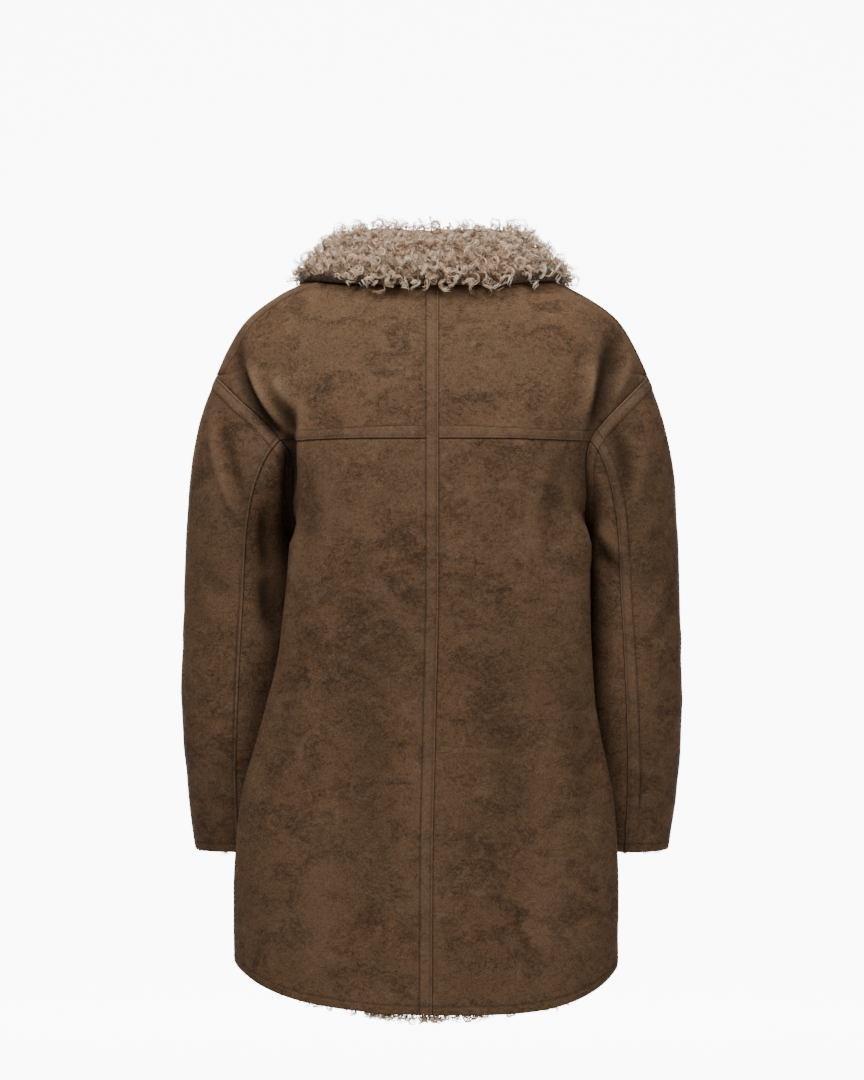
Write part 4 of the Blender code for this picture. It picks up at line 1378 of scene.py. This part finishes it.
def add_linings(skin, normals, creases, fleece, pile):
    """The pile side of every panel: a lumpy wall inside the suede's deepest creases, and locks over it."""
    for number, name in enumerate(skin):
        start = SLEEVE_LINING_FROM if "sleeve" in name else 0
        grid, outward, creased = (values[name][start:] for values in (skin, normals, creases))
        sunk = deepest(creased) - creased
        coarse, facing = thinned(grid + sunk[..., None] * outward), thinned(outward)
        to_edge = np.min([thinned(edge_distances(grid, edge)[..., None]) for edge in EDGES], axis=0)
        top = PILE_TOP + PILE_SINKS * ease(to_edge, 2 * MM, 18 * MM) * (1 - thinner_under_arm(coarse))
        full = PILE_DEEP + lumps(coarse, 61 + number, 1.3 * MM)
        near = coarse - facing * top
        deep = coarse - facing * (top + (full - top) * (1 - thinner_under_arm(coarse)))
        piece = wall_piece("fleece_" + name, near, deep, TURNS[name], fleece)
        row, column = scatter(deep, LINING_SPACING, 70 + number)
        kept = (row > SLEEVE_LOCKS) | ("sleeve" not in name)
        kept &= sampled(to_edge, row, column)[:, 0] > LOCKS_FROM_SEAM
        row, column = row[kept], column[kept]
        roots, outward = sampled(deep, row, column), unit(-sampled(facing, row, column))
        flow = lying(outward, np.random.default_rng(75 + number).normal(0, 0.6, roots.shape))
        curls("curls_" + name, "inside", roots, outward, flow, 80 + number, pile)


# Edges where pile peeks out: grid, edge, distance between locks, how far in from the edge they grow, both in
# millimetres
PILE_EDGES = (
    ("back", "bottom", 3.8, 4.2),
    ("front_left", "bottom", 5.0, 5.0),
    ("front_right", "bottom", 5.0, 5.0),
    ("sleeve_left", "bottom", 4.2, 4.6),
    ("sleeve_right", "bottom", 4.2, 4.6),
    ("front_left", "first", 5.0, 5.0),
    ("front_right", "first", 5.0, 5.0),
)
# At the back's hem it grows further down in the middle: place across, half width, how much further
HEM_TUFT = (0.012, 0.075, 4.8 * MM)
# Two tufts on either side of the centre seam: from, to, number of more locks
HEM_TUFTS = ((0.022, 0.072, 52), (-0.048, 0.010, 52))
# Half width of the hem along which they are placed
HEM_MIDDLE = 0.12


def add_edge_pile(skin, normals, pile):
    """Locks that stand out a little past the hem, the cuffs and the front edges."""
    rows = []
    for number, (name, edge, spacing, depth) in enumerate(PILE_EDGES):
        lines = edge_lines(skin[name], edge)
        facing = edge_lines(normals[name], edge)[:, 0]
        rim = lines[:, 0]
        lengths = lengths_along(rim)
        draw = np.random.default_rng(90 + number)
        places = np.sort(draw.uniform(0, lengths[-1], int(lengths[-1] / (spacing * MM))))
        if name == "back":
            middle = np.abs(rim[:, 0]) < HEM_MIDDLE
            across = np.concatenate([draw.uniform(*tuft) for tuft in HEM_TUFTS])
            places = np.concatenate([places, np.interp(across, rim[middle, 0], lengths[middle])])
        outside = read_along(unit(rim - lines[:, 3]), lengths, places)
        inward = -unit(read_along(facing, lengths, places))
        points = read_along(rim, lengths, places)
        in_from_edge = depth * MM * draw.uniform(0.7, 1.3, (len(places), 1))
        if name == "back":
            centre, half, further = HEM_TUFT
            in_from_edge -= further * bell(points[:, :1] - centre, half)
        roots = points + draw.uniform(2.5, 6.0, (len(places), 1)) * MM * inward - in_from_edge * outside
        flow = unit(outside + draw.normal(0, 0.35, points.shape))
        rows.append((roots, inward, flow))
    roots, outward, flow = (np.concatenate(part) for part in zip(*rows))
    curls("curls_edges", "edge", roots, outward, flow, 99, pile)


# ---------------------------------------------------------------- stage, light, camera
FLOOR_HEIGHT = -1.46
FLOOR_REACH = 9.0
WALL_PLACE = -6.0
WALL_TOP = 6.0
STAGE_ROUND = 1.6
CAMERA_AWAY = 3.5
CAMERA_HEIGHT = -0.283
LENS = 106.0
FLOOR_GLOW = 0.15
WALL_GLOW = 9.0
WORLD_LIGHT = 0.12
# Area lights: name, place, what each is aimed at, width and height, watts
LIGHTS = (
    ("key", (0.45, 1.3, 1.8), (0, 0, -0.15), (1.1, 1.1), 71),
    ("fill", (-1.9, 2.5, 0.9), (0, 0, -0.4), (1.8, 1.8), 26),
    ("top", (-0.2, 0.1, 2.1), (0, 0, -0.3), (2.0, 1.4), 16),
    ("front", (0.8, -3.0, 1.2), (0, 0, -0.3), (2.4, 2.4), 6),
)


def add_stage():
    """A pale floor that curves up into a wall, as a profile of straight, arc and straight carried across. The
    wall glows behind the coat: a product of straight ramps along the three axes."""
    turn = np.linspace(0, math.pi / 2, 24)
    arc_y = WALL_PLACE + STAGE_ROUND - STAGE_ROUND * np.sin(turn)
    arc_z = FLOOR_HEIGHT + STAGE_ROUND - STAGE_ROUND * np.cos(turn)
    depth = np.concatenate([[FLOOR_REACH], arc_y, [WALL_PLACE]])
    height = np.concatenate([[FLOOR_HEIGHT], arc_z, [WALL_TOP]])
    sides = np.array([-FLOOR_REACH, FLOOR_REACH])
    grid = np.stack(np.broadcast_arrays(sides[None], depth[:, None], height[:, None]), axis=-1)
    made = Finish("pale_floor", {"Base Color": (0.50, 0.50, 0.50, 1), "Roughness": 0.9})
    made.shader.inputs["Emission Strength"].default_value = WALL_GLOW
    across, away, up = (
        made.node("ShaderNodeSeparateXYZ", {}, {"Vector": made.place()}, axis) for axis in "XYZ"
    )
    lit = away.between(-1.2, -3.4) * across.math("ABSOLUTE").between(3.4, 1.6) * up.between(4.0, 2.0)
    glow = made.mix(lit, (*[FLOOR_GLOW / WALL_GLOW] * 3, 1), (1.0, 1.0, 1.0, 1.0))
    made.shade(Emission_Color=glow)
    mesh = bpy.data.meshes.new("floor")
    mesh.from_pydata(grid.reshape(-1, 3).tolist(), [], quads_of(*grid.shape[:2], -1).tolist())
    mesh.materials.append(made.material)
    floor = bpy.data.objects.new("floor", mesh)
    bpy.context.scene.collection.objects.link(floor)


def aim(item, target):
    """Turns an object so that its -Z looks at a target."""
    away = np.array(item.location) - np.array(target)
    flat = math.hypot(away[0], away[1])
    item.rotation_euler = (math.atan2(flat, away[2]), 0, math.atan2(away[0], -away[1]))


def add_light(name, place, target, size, power):
    light = bpy.data.lights.new(name, "AREA")
    light.shape = "RECTANGLE"
    light.size, light.size_y = size
    light.energy = power
    item = bpy.data.objects.new(name, light)
    item.location = place
    aim(item, target)
    bpy.context.scene.collection.objects.link(item)


def add_world(strength):
    world = bpy.data.worlds.new("studio")
    world.use_nodes = True
    background = world.node_tree.nodes["Background"]
    background.inputs["Color"].default_value = (1, 1, 1, 1)
    background.inputs["Strength"].default_value = strength
    bpy.context.scene.world = world


def add_camera():
    camera = bpy.data.cameras.new("camera")
    camera.lens = LENS
    item = bpy.data.objects.new("camera", camera)
    item.location = (0, CAMERA_AWAY, CAMERA_HEIGHT)
    aim(item, (0, 0, CAMERA_HEIGHT))
    bpy.context.scene.collection.objects.link(item)
    bpy.context.scene.camera = item


# ---------------------------------------------------------------- the coat
# How far stitch rows stay off the ends of their edge: where the centre lap covers one, and elsewhere
CENTRE_TRIM = SECOND_STITCH - 1 * MM
END_TRIM = 1.5 * MM


def stitch_rows(name, outer, normals, edges):
    """The stitch rows of a panel. Those of the yoke seam stop where the centre lap runs over it."""
    rows = []
    for edge, kind, span in edges:
        covered = ALL if span is None else slice(span[0], span[1] + 1)
        start = CENTRE_TRIM if (name, edge) in UNDER_CENTRE_LAP else END_TRIM
        for distance in STITCH_ROWS[kind]:
            row = stitch_line(outer[covered], normals[covered], edge, distance, (start, END_TRIM))
            if row is not None:
                rows.append(row)
    return rows


def whole_skin():
    """The five grids with their folds and creases, their normals, their creases' heights, and the column of
    the centre back seam."""
    back, centre = back_skin()
    front, sleeve = front_skin(), sleeve_skin()
    skin = {
        "back": back,
        "front_left": swayed(front),
        "front_right": swayed(front * MIRROR),
        "sleeve_left": sleeve,
        "sleeve_right": sleeve * MIRROR,
    }
    skin = {name: folded(grid) for name, grid in skin.items()}
    normals = skin_normals(skin)
    softened = {name: soften(grid, normals[name]) for name, grid in skin.items()}
    skin = {name: points for name, (points, _) in softened.items()}
    creases = {name: heights for name, (_, heights) in softened.items()}
    return skin, skin_normals(skin), creases, centre


def add_panels(skin, normals, creases, centre, suede, thread):
    """The ten suede panels, and the stitches of all their seams as one piece."""
    sewn = []
    for number, (name, (grid, rows, columns, edges)) in enumerate(panel_table(centre).items()):
        part, facing, heights = (values[grid][rows, columns] for values in (skin, normals, creases))
        outer, piece = finish_panel(name, number, part, facing, heights, TURNS[grid], edges, suede)
        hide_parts(name)
        sewn += stitch_rows(name, outer, facing, edges)
    points, faces = stitches(sewn)
    build_mesh("stitches", points, faces, thread)


def main():
    for item in list(bpy.data.lights):
        bpy.data.lights.remove(item)
    suede, fleece, pile, thread = suede_finish(), fleece_finish(), pile_finish("curly_pile"), thread_finish()
    skin, normals, creases, centre = whole_skin()
    add_panels(skin, normals, creases, centre, suede, thread)
    collar = add_collar(skin, normals, suede, fleece, pile)
    add_linings(skin, normals, creases, fleece, pile)
    add_edge_pile(skin, normals, pile)
    add_stage()
    add_world(WORLD_LIGHT)
    for light in LIGHTS:
        add_light(*light)
    add_camera()


main()
